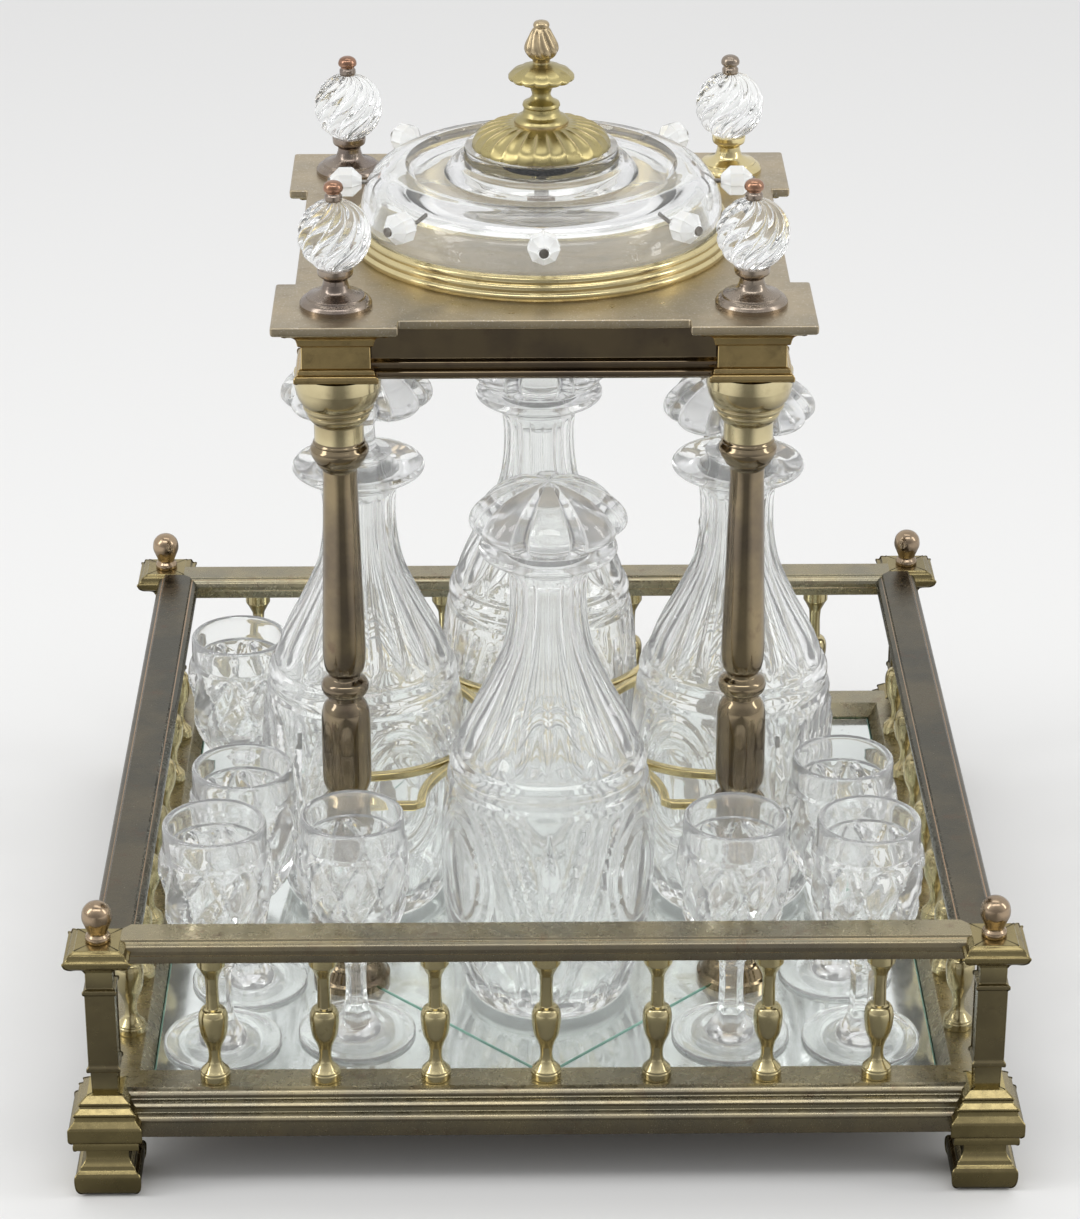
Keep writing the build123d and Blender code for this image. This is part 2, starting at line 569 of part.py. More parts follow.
# ---- write every node ----
os.makedirs("parts", exist_ok=True)
write_sides("tray_rail", tray_rail())
write("corner_blocks", at_corners(corner_block(), POST))
write("corner_feet", at_corners(corner_foot(), POST))
write("corner_posts", at_corners(corner_post(), POST))
write("post_caps", at_corners(post_cap(), POST))
write("post_balls", at_corners(post_ball(), POST))
write("post_rods", at_corners(post_rod(), POST))
write_sides("gallery_rail", gallery_rail())
write_sides("balusters", balusters_front())
centre_pane, corner_panes = mirror_panes()
write("mirror_centre_pane", centre_pane)
write("mirror_corner_panes", corner_panes)
write("base_board", base_board())
write("column_feet", at_corners(column_foot(), COLUMN))
write("columns", at_corners(column(), COLUMN))
write("column_capitals", at_corners(column_capital(), COLUMN))
write("tie_rods", at_corners(tie_rod(), COLUMN))
write("tie_rod_nuts", at_corners(place(hex_nut(), 0, 0, BOARD_LOW - NUT_TALL), COLUMN))
write("canopy_plate", canopy_plate())
write("canopy_corner_blocks", at_corners(canopy_corner_block(), COLUMN))
write("canopy_beams", Compound(children=four_sides(canopy_beam())))
write("dome_ring", dome_ring())
write("swirl_finial_feet", at_corners(swirl_finial_foot(), COLUMN))
write("swirl_finial_balls", at_corners(swirl_finial_ball(), COLUMN))
write("swirl_finial_knobs", at_corners(swirl_finial_knob(), COLUMN))
write("dome_glass", dome_glass())
write("dome_cap", dome_cap())
write("finial_stem", finial_stem())
write("finial_bud", finial_bud())
write("finial_rod", finial_rod())
write("finial_nut", finial_nut())
write("glass_beads", around(glass_bead(), BEADS, BEAD_MID, BEAD_Z))
write("bead_pins", around(bead_pin(), BEADS, BEAD_MID, BEAD_Z))
write_sides("holder_band", holder_band())
for side, (x, y) in BODY_PLACES.items():
    write(f"decanter_{side}", place(decanter(), x, y))
    write(f"stopper_{side}", place(stopper(STOPPER_RISE[side], PLUG_DEEP[side]), x, y))
for spot, (x, y) in GOBLET_PLACES.items():
    write(f"goblet_{spot}", place(goblet(), x, y))
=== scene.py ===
import math

import bpy
import numpy as np
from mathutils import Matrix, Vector


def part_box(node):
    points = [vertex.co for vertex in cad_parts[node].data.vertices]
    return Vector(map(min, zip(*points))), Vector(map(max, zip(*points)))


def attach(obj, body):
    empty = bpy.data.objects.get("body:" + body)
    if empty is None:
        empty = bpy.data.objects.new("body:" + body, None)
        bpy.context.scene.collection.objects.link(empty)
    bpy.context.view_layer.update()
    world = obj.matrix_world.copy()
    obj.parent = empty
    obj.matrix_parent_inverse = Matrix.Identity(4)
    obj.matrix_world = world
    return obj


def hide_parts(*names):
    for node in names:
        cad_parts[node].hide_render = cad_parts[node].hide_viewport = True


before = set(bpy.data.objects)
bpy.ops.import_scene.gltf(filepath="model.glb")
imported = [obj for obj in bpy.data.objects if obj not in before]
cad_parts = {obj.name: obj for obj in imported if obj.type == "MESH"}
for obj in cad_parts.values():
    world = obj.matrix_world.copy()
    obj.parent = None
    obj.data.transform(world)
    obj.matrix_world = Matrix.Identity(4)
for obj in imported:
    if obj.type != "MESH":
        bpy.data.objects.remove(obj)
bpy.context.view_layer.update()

# Looks of a brass and glass tantalus. Shapes are given in millimetres and made in metres.
# X to the right, Y away from the front, Z up. Heights count from a level 3.5 mm above the ground.
mm = 0.001
lift = 3.5
scene = bpy.context.scene
sideTurns = {"front": 0, "right": 1, "back": 2, "left": 3}
cornerSigns = [(-1, -1), (1, -1), (-1, 1), (1, 1)]


def smoothRun(points, steps):
    # Catmull-Rom curve: each stretch blends its two ends and their neighbours with cubic weights
    p = np.array(points, float)
    p = np.vstack([2 * p[0] - p[1], p, 2 * p[-1] - p[-2]])
    t = np.linspace(0, 1, steps, endpoint=False)[:, None]
    parts = [0.5 * (2 * p[i] + (p[i + 1] - p[i - 1]) * t
                    + (2 * p[i - 1] - 5 * p[i] + 4 * p[i + 1] - p[i + 2]) * t ** 2
                    + (3 * p[i] - p[i - 1] - 3 * p[i + 1] + p[i + 2]) * t ** 3)
             for i in range(1, len(p) - 2)]
    return np.vstack(parts + [p[-2:-1]])


def softened(points, radius, closed=False):
    # each corner sharper than 20 degrees becomes a short curve: a quadratic between points on its two sides
    p = np.array(points, float)
    count = len(p)
    made = []
    for i in range(count):
        ends = not closed and i in (0, count - 1)
        before, here, after = p[i - 1], p[i], p[(i + 1) % count]
        a, b = before - here, after - here
        la, lb = np.linalg.norm(a), np.linalg.norm(b)
        if ends or la < 1e-9 or lb < 1e-9 or np.dot(a, b) / (la * lb) < -0.94:
            made.append(here[None])
            continue
        reach = min(radius, 0.45 * la, 0.45 * lb)
        start, stop = here + a / la * reach, here + b / lb * reach
        t = np.array([0, 0.33, 0.67, 1])[:, None]
        made.append((1 - t) ** 2 * start + 2 * t * (1 - t) * here + t ** 2 * stop)
    return np.vstack(made)


def path(start, *moves, steps=8):
    # a point is a straight line to it and a list is a smooth curve through its points
    points = np.array([start], float)
    for move in moves:
        run = [move] if isinstance(move, tuple) else smoothRun([points[-1], *move], steps)[1:]
        points = np.vstack([points, run])
    return points


def outline(start, *moves, soften=0.3, steps=8, closed=False):
    # a path with its corners softened; a closed one doesn't repeat its first point
    points = path(start, *moves, steps=steps)
    if closed and np.linalg.norm(points[0] - points[-1]) < 1e-6:
        points = points[:-1]
    return softened(points, soften, closed)


def denser(points, longest):
    # adds evenly spaced points on every stretch longer than the given length
    made = [points[:1]]
    for a, b in zip(points[:-1], points[1:]):
        count = max(1, math.ceil(np.linalg.norm(b - a) / longest))
        t = np.linspace(0, 1, count + 1)[1:, None]
        made.append(a + (b - a) * t)
    return np.vstack(made)


def between(value, start, stop):
    # 0 at the start, 1 at the stop and held beyond them; the stop may be the lower one
    return np.clip((value - start) / (stop - start), 0, 1)


def gridFaces(rows, columns, wrapRows=False):
    # quads of a tube, joined round its columns, and end to end as well where the rows wrap
    index = np.arange(rows * columns).reshape(rows, columns)
    if wrapRows:
        index = np.vstack([index, index[:1]])
    index = np.hstack([index, index[:, :1]])
    quads = np.stack([index[:-1, :-1], index[:-1, 1:], index[1:, 1:], index[1:, :-1]], axis=-1)
    return quads.reshape(-1, 4).tolist()


def cappedFaces(rows, columns):
    # a tube with one flat face at each end
    last = (rows - 1) * columns
    return gridFaces(rows, columns) + [list(range(columns))[::-1], list(range(last, last + columns))]


def closedTube(points, rows, columns):
    # a grid wound round an axis, closed by one point at each end on the axis
    vertices = np.vstack([points.reshape(-1, 3), points[0].mean(0), points[-1].mean(0)])
    around = np.arange(columns)
    after = np.roll(around, -1)
    top = (rows - 1) * columns
    lowFan = np.stack([after, around, np.full(columns, rows * columns)], axis=-1)
    highFan = np.stack([top + around, top + after, np.full(columns, rows * columns + 1)], axis=-1)
    return vertices, gridFaces(rows, columns) + lowFan.tolist() + highFan.tolist()


def turnedGrid(profile, columns, cut=None):
    # surface of revolution: x = r cos a, y = r sin a, z = height, where cut may change r and z by angle
    angle = np.linspace(0, 2 * np.pi, columns, endpoint=False)[None, :]
    radius = np.repeat(profile[:, :1], columns, axis=1)
    height = np.repeat(profile[:, 1:], columns, axis=1)
    if cut is not None:
        radius, height = cut(np.broadcast_to(angle, radius.shape), radius, height)
    return np.stack([radius * np.cos(angle), radius * np.sin(angle), height], axis=-1)


def turned(profile, columns=48, cut=None, ring=False):
    # a lathe shape, closed on its axis, or closed on itself where ring is true
    inner = profile if ring else profile[profile[:, 0] > 0.02]
    points = turnedGrid(inner, columns, cut)
    if ring:
        return points.reshape(-1, 3), gridFaces(len(inner), columns, wrapRows=True)
    vertices, faces = closedTube(points, len(inner), columns)
    vertices[-2:, 2] = profile[[0, -1], 1]
    return vertices, faces


def quarterTurn(count):
    c, s = round(math.cos(count * math.pi / 2)), round(math.sin(count * math.pi / 2))
    return np.array([[c, -s], [s, c]])


def squareTurned(profile, corner=0.35):
    # a square pier: every level is a square of that half width with slightly rounded corners
    ring = []
    for quarter in range(4):
        for back in ((1.0, 0.0), (0.29, 0.29), (0.0, 1.0)):
            ring.append([*quarterTurn(quarter) @ [1, -1], *quarterTurn(quarter) @ [-back[1], back[0]]])
    ring = np.array(ring)
    half = profile[:, :1]
    x = half * ring[None, :, 0] + corner * ring[None, :, 2]
    y = half * ring[None, :, 1] + corner * ring[None, :, 3]
    z = np.repeat(profile[:, 1:], len(ring), axis=1)
    return closedTube(np.stack([x, y, z], axis=-1), len(profile), len(ring))


def mitredRail(profile):
    # a moulding along the front: its section (distance out, height) stands at x = -distance and x = distance
    out, height = profile[:, 0], profile[:, 1]
    ends = [np.stack([t * out, -out, height], axis=-1) for t in (-1, 1)]
    return np.vstack(ends), cappedFaces(2, len(profile))


def insetPolygon(points, inset):
    # moves every side of a polygon inwards by the same distance: each corner goes along both its normals
    p = np.array(points, float)
    back = p - np.roll(p, 1, axis=0)
    ahead = np.roll(p, -1, axis=0) - p
    back /= np.linalg.norm(back, axis=1)[:, None]
    ahead /= np.linalg.norm(ahead, axis=1)[:, None]
    n1 = np.stack([-back[:, 1], back[:, 0]], axis=-1)
    n2 = np.stack([-ahead[:, 1], ahead[:, 0]], axis=-1)
    return p + (n1 + n2) / (1 + (n1 * n2).sum(1))[:, None] * inset


def slab(points, levels, soften=0.0):
    # a plate: the outline, counter-clockwise, is drawn in by each level's inset, softened and capped flat
    rings = []
    for inset, z in levels:
        edge = insetPolygon(points, inset)
        if soften:
            edge = softened(edge, soften, closed=True)
        rings.append(np.column_stack([edge, np.full(len(edge), z)]))
    return np.vstack(rings), cappedFaces(len(rings), len(rings[0]))


def placed(shape, x=0.0, y=0.0, quarter=0):
    # a copy turned by quarters about Z and then moved
    vertices = np.array(shape[0], float)
    vertices[:, :2] = vertices[:, :2] @ quarterTurn(quarter).T + [x, y]
    return vertices, shape[1]


def rotated(shape, angle):
    c, s = math.cos(angle), math.sin(angle)
    return shape[0] @ np.array([[c, s, 0], [-s, c, 0], [0, 0, 1]]), shape[1]


def joined(shapes):
    vertices, faces, base = [], [], 0
    for v, f in shapes:
        vertices.append(v)
        faces += [[i + base for i in face] for face in f]
        base += len(v)
    return np.vstack(vertices), faces


def atCorners(shape, spread):
    return joined([placed(shape, sx * spread, sy * spread) for sx, sy in cornerSigns])


def makePiece(name, shape, materials, body, replaces=(), smooth=38, pick=None, weighted=True):
    # puts a shape into a mesh object, smooths it up to an angle, hangs it on its body and hides the CAD parts
    # it replaces
    vertices, faces = shape
    mesh = bpy.data.meshes.new(name)
    mesh.from_pydata(((np.array(vertices) + [0, 0, lift]) * mm).tolist(), [], faces)
    mesh.validate()
    piece = bpy.data.objects.new(name, mesh)
    scene.collection.objects.link(piece)
    for material in materials:
        mesh.materials.append(material)
    mesh.polygons.foreach_set("use_smooth", np.full(len(mesh.polygons), smooth > 0))
    if smooth:
        mesh.set_sharp_from_angle(angle=math.radians(smooth))
    if pick is not None:
        centres = np.zeros(len(mesh.polygons) * 3)
        mesh.polygons.foreach_get("center", centres)
        places = centres.reshape(-1, 3) / mm - [0, 0, lift]
        mesh.polygons.foreach_set("material_index", pick(places).astype(np.int32))
    if weighted:
        piece.modifiers.new("evenNormals", "WEIGHTED_NORMAL").keep_sharp = True
    piece.visible_shadow = materials[0] not in (clearGlass, cutGlass, headGlass)  # glass lets light through
    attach(piece, body)
    if replaces:
        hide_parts(*replaces)
    return piece


def newMaterial(name):
    material = bpy.data.materials.new(name)
    material.use_nodes = True
    return material, material.node_tree, material.node_tree.nodes["Principled BSDF"]


def noiseNode(tree, scale, detail=4.0, roughness=0.55, stretch=None):
    coords = tree.nodes.new("ShaderNodeTexCoord")
    source = coords.outputs["Object"]
    if stretch is not None:
        mapping = tree.nodes.new("ShaderNodeMapping")
        mapping.inputs["Scale"].default_value = stretch
        tree.links.new(source, mapping.inputs["Vector"])
        source = mapping.outputs["Vector"]
    noise = tree.nodes.new("ShaderNodeTexNoise")
    noise.inputs["Scale"].default_value = scale
    noise.inputs["Detail"].default_value = detail
    noise.inputs["Roughness"].default_value = roughness
    tree.links.new(source, noise.inputs["Vector"])
    return noise.outputs["Fac"]


def rampNode(tree, source, stops):
    # a stop's colour is three numbers, or one for a grey
    ramp = tree.nodes.new("ShaderNodeValToRGB")
    elements = ramp.color_ramp.elements
    while len(elements) < len(stops):
        elements.new(0.5)
    for element, (place, colour) in zip(elements, stops):
        element.position = place
        element.color = (*(colour if isinstance(colour, tuple) else (colour,) * 3), 1.0)
    tree.links.new(source, ramp.inputs["Fac"])
    return ramp.outputs["Color"]


def mathNode(tree, operation, *values):
    node = tree.nodes.new("ShaderNodeMath")
    node.operation = operation
    for socket, value in zip(node.inputs, values):
        if isinstance(value, float):
            socket.default_value = value
        else:
            tree.links.new(value, socket)
    return node.outputs[0]


def mixNode(tree, factor, a, b):
    mix = tree.nodes.new("ShaderNodeMix")
    mix.data_type = "RGBA"
    tree.links.new(factor, mix.inputs["Factor"])
    for socket, value in ((mix.inputs[6], a), (mix.inputs[7], b)):
        if isinstance(value, tuple):
            socket.default_value = (*value, 1.0)
        else:
            tree.links.new(value, socket)
    return mix.outputs[2]


def bumpNode(tree, shader, source, strength, distance):
    bump = tree.nodes.new("ShaderNodeBump")
    bump.inputs["Strength"].default_value = strength
    bump.inputs["Distance"].default_value = distance
    tree.links.new(source, bump.inputs["Height"])
    tree.links.new(bump.outputs["Normal"], shader.inputs["Normal"])


def brassMaterial(name, clean, patina, stain, gloss=(0.16, 0.4), cover=(0.42, 0.62), wearAndGlint=0.35, edge=None,
                  dust=0.0, grain=0.05):
    # clean metal under patchy patina and darker stains; hollows are darkened, for tarnish and painted shade,
    # and raised edges are brightened, for wear and a painted highlight
    material, tree, shader = newMaterial(name)
    patches = rampNode(tree, noiseNode(tree, 38, 5, 0.6), [(cover[0], 0), (cover[1], 1)])
    colour = mixNode(tree, patches, clean, patina)
    stains = rampNode(tree, noiseNode(tree, 130, 6, 0.65), [(0.58, 0), (0.76, 0.75)])
    colour = mixNode(tree, stains, colour, stain)
    point = tree.nodes.new("ShaderNodeNewGeometry").outputs["Pointiness"]
    # hollows, found by pointiness, darken to half the stain colour: tarnish, and painted shade in creases
    tarnishAndShadeInHollows = rampNode(tree, point, [(0.38, 0.55), (0.47, 0)])
    colour = mixNode(tree, tarnishAndShadeInHollows, colour, tuple(c * 0.5 for c in stain))
    # raised edges, found by pointiness, take the edge colour up to the wear share: rubbed wear, and a painted
    # highlight along mouldings
    wornAndHighlitEdges = rampNode(tree, point, [(0.515, 0), (0.58, wearAndGlint)])
    colour = mixNode(tree, wornAndHighlitEdges, colour, edge or tuple(min(1.0, c * 1.35) for c in clean))
    if dust:
        specks = rampNode(tree, noiseNode(tree, 1400, 2, 0.7), [(0.6, 0), (0.68, dust)])
        colour = mixNode(tree, specks, colour, (0.75, 0.72, 0.66))
    tree.links.new(colour, shader.inputs["Base Color"])
    shader.inputs["Metallic"].default_value = 1.0
    tree.links.new(rampNode(tree, noiseNode(tree, 240, 6, 0.7), [(0.3, gloss[0]), (0.7, gloss[1])]),
                   shader.inputs["Roughness"])
    bumpNode(tree, shader, noiseNode(tree, 700, 4, 0.6), grain, 0.0003)
    return material


def glassMaterial(name, tint=(0.985, 0.995, 0.99), gloss=(0.0, 0.03), wave=0.05, waveScale=60, clear=0.96,
                  cutShadeAndGlint=0.0):
    # a small share of plain white stands for the bloom of old glass; cut valleys get painted grey shade lines
    # and cut ridges a painted white highlight
    material, tree, shader = newMaterial(name)
    shader.inputs["Base Color"].default_value = (*tint, 1.0)
    shader.inputs["Transmission Weight"].default_value = clear
    if cutShadeAndGlint:
        point = tree.nodes.new("ShaderNodeNewGeometry").outputs["Pointiness"]
        # painted shade: cut hollows turn grey; painted highlight: cut ridges let less light through and show
        # more white
        paintedValleyShade = rampNode(tree, point, [(0.44, cutShadeAndGlint), (0.485, 0)])
        paintedRidgeGlint = rampNode(tree, point, [(0.515, 0), (0.56, cutShadeAndGlint)])
        tree.links.new(mixNode(tree, paintedValleyShade, tint, (0.4, 0.41, 0.43)), shader.inputs["Base Color"])
        tree.links.new(mathNode(tree, "MULTIPLY_ADD", paintedRidgeGlint, -0.5, clear),
                       shader.inputs["Transmission Weight"])
    shader.inputs["IOR"].default_value = 1.52
    tree.links.new(rampNode(tree, noiseNode(tree, 420, 5, 0.7), [(0.45, gloss[0]), (0.75, gloss[1])]),
                   shader.inputs["Roughness"])
    bumpNode(tree, shader, noiseNode(tree, waveScale, 2, 0.4), wave, 0.002)
    return material


railBrass = brassMaterial("railBrass", (0.43, 0.38, 0.24), (0.32, 0.3, 0.22), (0.24, 0.16, 0.11),
                          gloss=(0.2, 0.36), cover=(0.38, 0.6), wearAndGlint=0.8, edge=(0.55, 0.4, 0.25))
# a darker copy of the rail brass for the left and right gallery rails: painted shade
shadedSideBrass = brassMaterial("shadedSideBrass", (0.15, 0.135, 0.095), (0.1, 0.1, 0.08), (0.15, 0.1, 0.07),
                          gloss=(0.2, 0.34), cover=(0.38, 0.6), wearAndGlint=0.8, edge=(0.5, 0.34, 0.22))
columnBrass = brassMaterial("columnBrass", (0.29, 0.23, 0.14), (0.18, 0.145, 0.105), (0.15, 0.1, 0.075),
                            gloss=(0.06, 0.18), cover=(0.4, 0.66))
postBrass = brassMaterial("postBrass", (0.38, 0.32, 0.17), (0.27, 0.23, 0.13), (0.17, 0.13, 0.08),
                          gloss=(0.16, 0.3), cover=(0.42, 0.66))
ballBrass = brassMaterial("ballBrass", (0.4, 0.3, 0.2), (0.3, 0.23, 0.16), (0.16, 0.11, 0.08),
                          gloss=(0.14, 0.28), cover=(0.4, 0.66))
cornerBrass = brassMaterial("cornerBrass", (0.52, 0.43, 0.2), (0.36, 0.3, 0.14), (0.2, 0.15, 0.08),
                            gloss=(0.16, 0.32), cover=(0.45, 0.66), wearAndGlint=0.8, edge=(0.8, 0.7, 0.4))
capitalBrass = brassMaterial("capitalBrass", (0.52, 0.45, 0.27), (0.38, 0.31, 0.18), (0.2, 0.15, 0.08),
                             gloss=(0.1, 0.24), cover=(0.45, 0.68), wearAndGlint=0.6)
balusterBrass = brassMaterial("balusterBrass", (0.58, 0.5, 0.28), (0.42, 0.36, 0.21), (0.18, 0.14, 0.07),
                              gloss=(0.12, 0.28), cover=(0.45, 0.7), wearAndGlint=0.5)
ringBrass = brassMaterial("ringBrass", (0.67, 0.57, 0.31), (0.53, 0.45, 0.25), (0.28, 0.2, 0.09),
                          gloss=(0.12, 0.26), cover=(0.5, 0.74), wearAndGlint=0.5, grain=0.02)
finialBrass = brassMaterial("finialBrass", (0.46, 0.39, 0.18), (0.34, 0.29, 0.14), (0.16, 0.12, 0.06),
                            gloss=(0.24, 0.38), cover=(0.42, 0.66), wearAndGlint=0.8, edge=(0.62, 0.48, 0.3))
budBrass = brassMaterial("budBrass", (0.5, 0.4, 0.25), (0.36, 0.29, 0.18), (0.16, 0.12, 0.07),
                         gloss=(0.2, 0.36), cover=(0.42, 0.66), wearAndGlint=0.6)
plateBrass = brassMaterial("plateBrass", (0.41, 0.34, 0.23), (0.31, 0.27, 0.2), (0.19, 0.15, 0.11),
                           gloss=(0.26, 0.44), cover=(0.4, 0.6), dust=0.5)
footBrass = brassMaterial("footBrass", (0.3, 0.25, 0.2), (0.22, 0.18, 0.16), (0.15, 0.1, 0.085),
                          gloss=(0.16, 0.34))
blockBrass = brassMaterial("blockBrass", (0.8, 0.6, 0.27), (0.52, 0.4, 0.19), (0.28, 0.2, 0.1),
                           gloss=(0.14, 0.28), cover=(0.45, 0.68), wearAndGlint=0.6)
copperBrass = brassMaterial("copperBrass", (0.4, 0.22, 0.14), (0.28, 0.17, 0.12), (0.14, 0.09, 0.06),
                            gloss=(0.14, 0.3), cover=(0.42, 0.66))
clearGlass = glassMaterial("clearGlass")
cutGlass = glassMaterial("cutGlass", gloss=(0.0, 0.05), wave=0.03, waveScale=90, clear=0.9, cutShadeAndGlint=0.7)
headGlass = glassMaterial("headGlass", gloss=(0.0, 0.05), wave=0.03, waveScale=90, clear=0.82, cutShadeAndGlint=1.0)
frostedGlass = glassMaterial("frostedGlass", gloss=(0.06, 0.14), clear=0.92)


def mirrorMaterial():
    # silvered glass with faint clouding and small dark spots
    material, tree, shader = newMaterial("oldMirror")
    cloud = rampNode(tree, noiseNode(tree, 26, 5, 0.6),
                     [(0.35, (0.88, 0.92, 0.9)), (0.7, (0.78, 0.82, 0.8))])
    spots = rampNode(tree, noiseNode(tree, 420, 3, 0.6), [(0.66, 0), (0.74, 1)])
    tree.links.new(mixNode(tree, spots, cloud, (0.42, 0.44, 0.42)), shader.inputs["Base Color"])
    shader.inputs["Metallic"].default_value = 0.85
    tree.links.new(rampNode(tree, noiseNode(tree, 90, 5, 0.7), [(0.3, 0.05), (0.7, 0.14)]),
                   shader.inputs["Roughness"])
    return material


def paneEdgeMaterial():
    material, tree, shader = newMaterial("greenPaneEdge")
    tint = rampNode(tree, noiseNode(tree, 160, 4, 0.6),
                    [(0.3, (0.22, 0.42, 0.35)), (0.7, (0.34, 0.55, 0.47))])
    tree.links.new(tint, shader.inputs["Base Color"])
    shader.inputs["Roughness"].default_value = 0.12
    shader.inputs["IOR"].default_value = 1.5
    return material


def plainMaterial(name, light, dark, scale, metal, rough, stretch=None):
    material, tree, shader = newMaterial(name)
    colour = rampNode(tree, noiseNode(tree, scale, 5, 0.6, stretch), [(0.35, light), (0.65, dark)])
    tree.links.new(colour, shader.inputs["Base Color"])
    shader.inputs["Metallic"].default_value = metal
    roughness = rampNode(tree, noiseNode(tree, scale * 3, 4, 0.6), [(0.3, rough - 0.1), (0.7, rough + 0.1)])
    tree.links.new(roughness, shader.inputs["Roughness"])
    bumpNode(tree, shader, noiseNode(tree, scale * 6, 3, 0.6, stretch), 0.1, 0.0003)
    return material


oldMirror = mirrorMaterial()
greenPaneEdge = paneEdgeMaterial()
stainedWood = plainMaterial("stainedWood", (0.2, 0.12, 0.06), (0.1, 0.055, 0.03), scale=60, metal=0.0,
                            rough=0.5, stretch=(1.0, 12.0, 12.0))
darkIron = plainMaterial("darkIron", (0.3, 0.29, 0.27), (0.17, 0.15, 0.13), scale=300, metal=1.0, rough=0.45)
print("materials made")


floorLevel = 29.0
trayRail = {"inside": 135.6, "ledge": 130.0, "low": 18.3, "boardLow": 20.5, "top": 34.2, "fascia": 156.7}


def trayRailSection():
    # up the inner slope, over the flat, then down three undercut reeds to the fascia
    s = trayRail
    return outline((s["ledge"], s["low"]), (s["ledge"], s["boardLow"]), (s["inside"], s["boardLow"]),
                   (s["inside"], 29.6), (139.2, s["top"]), (150.1, s["top"]), [(151.7, 33.5), (152.8, 32.5)],
                   (152.9, 31.8), (152.2, 31.2), (152.6, 30.8), [(154.1, 30.2), (155.1, 29.4)], (155.1, 28.8),
                   (154.2, 28.2), (154.3, 26.7), [(156.0, 25.9), (156.9, 25.0)], (157.0, 24.4),
                   (s["fascia"], 24.0), (s["fascia"], s["low"]), (s["ledge"], s["low"]), soften=0.22, steps=4,
                   closed=True)


galleryRail = {"middle": 144.8, "low": 83.3, "top": 92.0, "bar": 6.4, "lip": 8.1, "flat": 5.2}


def galleryRailSection():
    # one half of the section, from the bar up to the flat, and the same mirrored on the outer side
    s = galleryRail
    half = path((s["bar"], s["low"]), (s["bar"], 86.3), (7.8, 86.9), (s["lip"], 87.5), (s["lip"], 88.9),
                [(7.5, 90.3), (6.2, 91.1)], (5.7, 91.1), (s["flat"], s["top"]), steps=4)
    section = np.vstack([half * [-1, 1], half[::-1]]) + [s["middle"], 0]
    return softened(section, 0.22, closed=True)


for side, quarter in sideTurns.items():
    makePiece(f"trayRail_{side}", placed(mitredRail(trayRailSection()[::-1]), quarter=quarter), [railBrass],
              "stand", [f"tray_rail_{side}"])
    # the side gallery rails take the darker copy of the rail brass: painted shade
    brass = railBrass if side in ("front", "back") else shadedSideBrass
    makePiece(f"galleryRail_{side}", placed(mitredRail(galleryRailSection()[::-1]), quarter=quarter), [brass],
              "stand", [f"gallery_rail_{side}"])

cornerAt = 150.0
cornerParts = {
    "cornerFeet": ("corner_feet", cornerBrass, outline(
        (7.5, -3.5), [(9.6, -2.8), (10.9, -1.0), (11.4, 1.6), (11.4, 4.4), (10.8, 5.8)], (9.6, 6.6),
        (9.2, 7.8), [(8.0, 9.2), (7.4, 11.0), (7.4, 13.4)], (8.6, 14.1), (8.6, 15.3))),
    "cornerBlocks": ("corner_blocks", cornerBrass, outline(
        (10.6, 15.2), [(11.2, 15.7), (11.3, 17.2), (11.0, 18.4)], (11.9, 18.8), [(12.6, 19.9), (12.68, 21.6),
        (12.68, 24.3)], (12.4, 25.0), (10.5, 26.9), (10.2, 28.3), (10.7, 28.8), (10.7, 29.4), (8.7, 31.0),
        (8.5, 31.7), (8.9, 32.1), (8.9, 32.7), (6.6, 34.6), (6.2, 34.8))),
    "cornerPosts": ("corner_posts", postBrass, outline(
        (4.4, 34.7), (4.6, 42.8), (5.8, 43.4), (5.8, 44.7), (5.1, 45.6), (5.1, 73.0), (5.8, 73.7),
        (5.8, 74.9), (4.6, 75.7), (4.6, 82.4))),
    "postCaps": ("post_caps", cornerBrass, outline(
        (4.8, 81.8), [(5.6, 83.3), (7.2, 84.4), (9.2, 85.4), (10.6, 86.7), (11.2, 88.0)], (11.4, 88.5),
        (11.3, 89.1), (10.3, 89.4), [(9.9, 90.1), (9.6, 91.0)], (9.2, 91.3), (8.0, 91.7), (7.7, 92.08))),
}
for name, (node, material, section) in cornerParts.items():
    makePiece(name, atCorners(squareTurned(section), cornerAt), [material], "stand",
              [node])

postBall = outline((4.0, 92.0), [(4.25, 92.5), (4.25, 93.4), (4.0, 94.2)], (3.3, 94.9), [(3.4, 95.8),
                   (4.2, 97.8), (5.0, 99.9), (5.1, 101.6), (4.6, 103.8), (3.2, 105.5), (1.4, 106.3),
                   (0.0, 106.4)])
makePiece("postBalls", atCorners(turned(postBall, 48), cornerAt), [ballBrass], "stand",
          ["post_balls"])
print("tray and corners made")

baluster = {"base": 34.2, "top": 83.3, "pitch": 37.7, "count": 7, "line": 144.4}


def balusterShape():
    b = baluster["base"]
    section = outline((5.0, b), (5.15, b + 0.3), (5.15, b + 2.6), (4.8, b + 3.0), (4.9, b + 3.5),
                      [(3.6, b + 4.9), (2.5, b + 6.6), (2.1, b + 9.2), (2.4, b + 12.2)], [(3.1, b + 14.2),
                      (4.45, b + 17.7), (5.05, b + 22.6), (4.9, b + 25.4), (4.2, b + 27.2), (3.4, b + 27.9)],
                      (2.35, b + 28.2), [(2.15, b + 35.8), (2.4, b + 40.1)], [(3.0, b + 41.4),
                      (4.2, b + 43.8)], (4.9, b + 44.9), (4.9, baluster["top"]), soften=0.2, steps=5)
    return turned(section, 32)


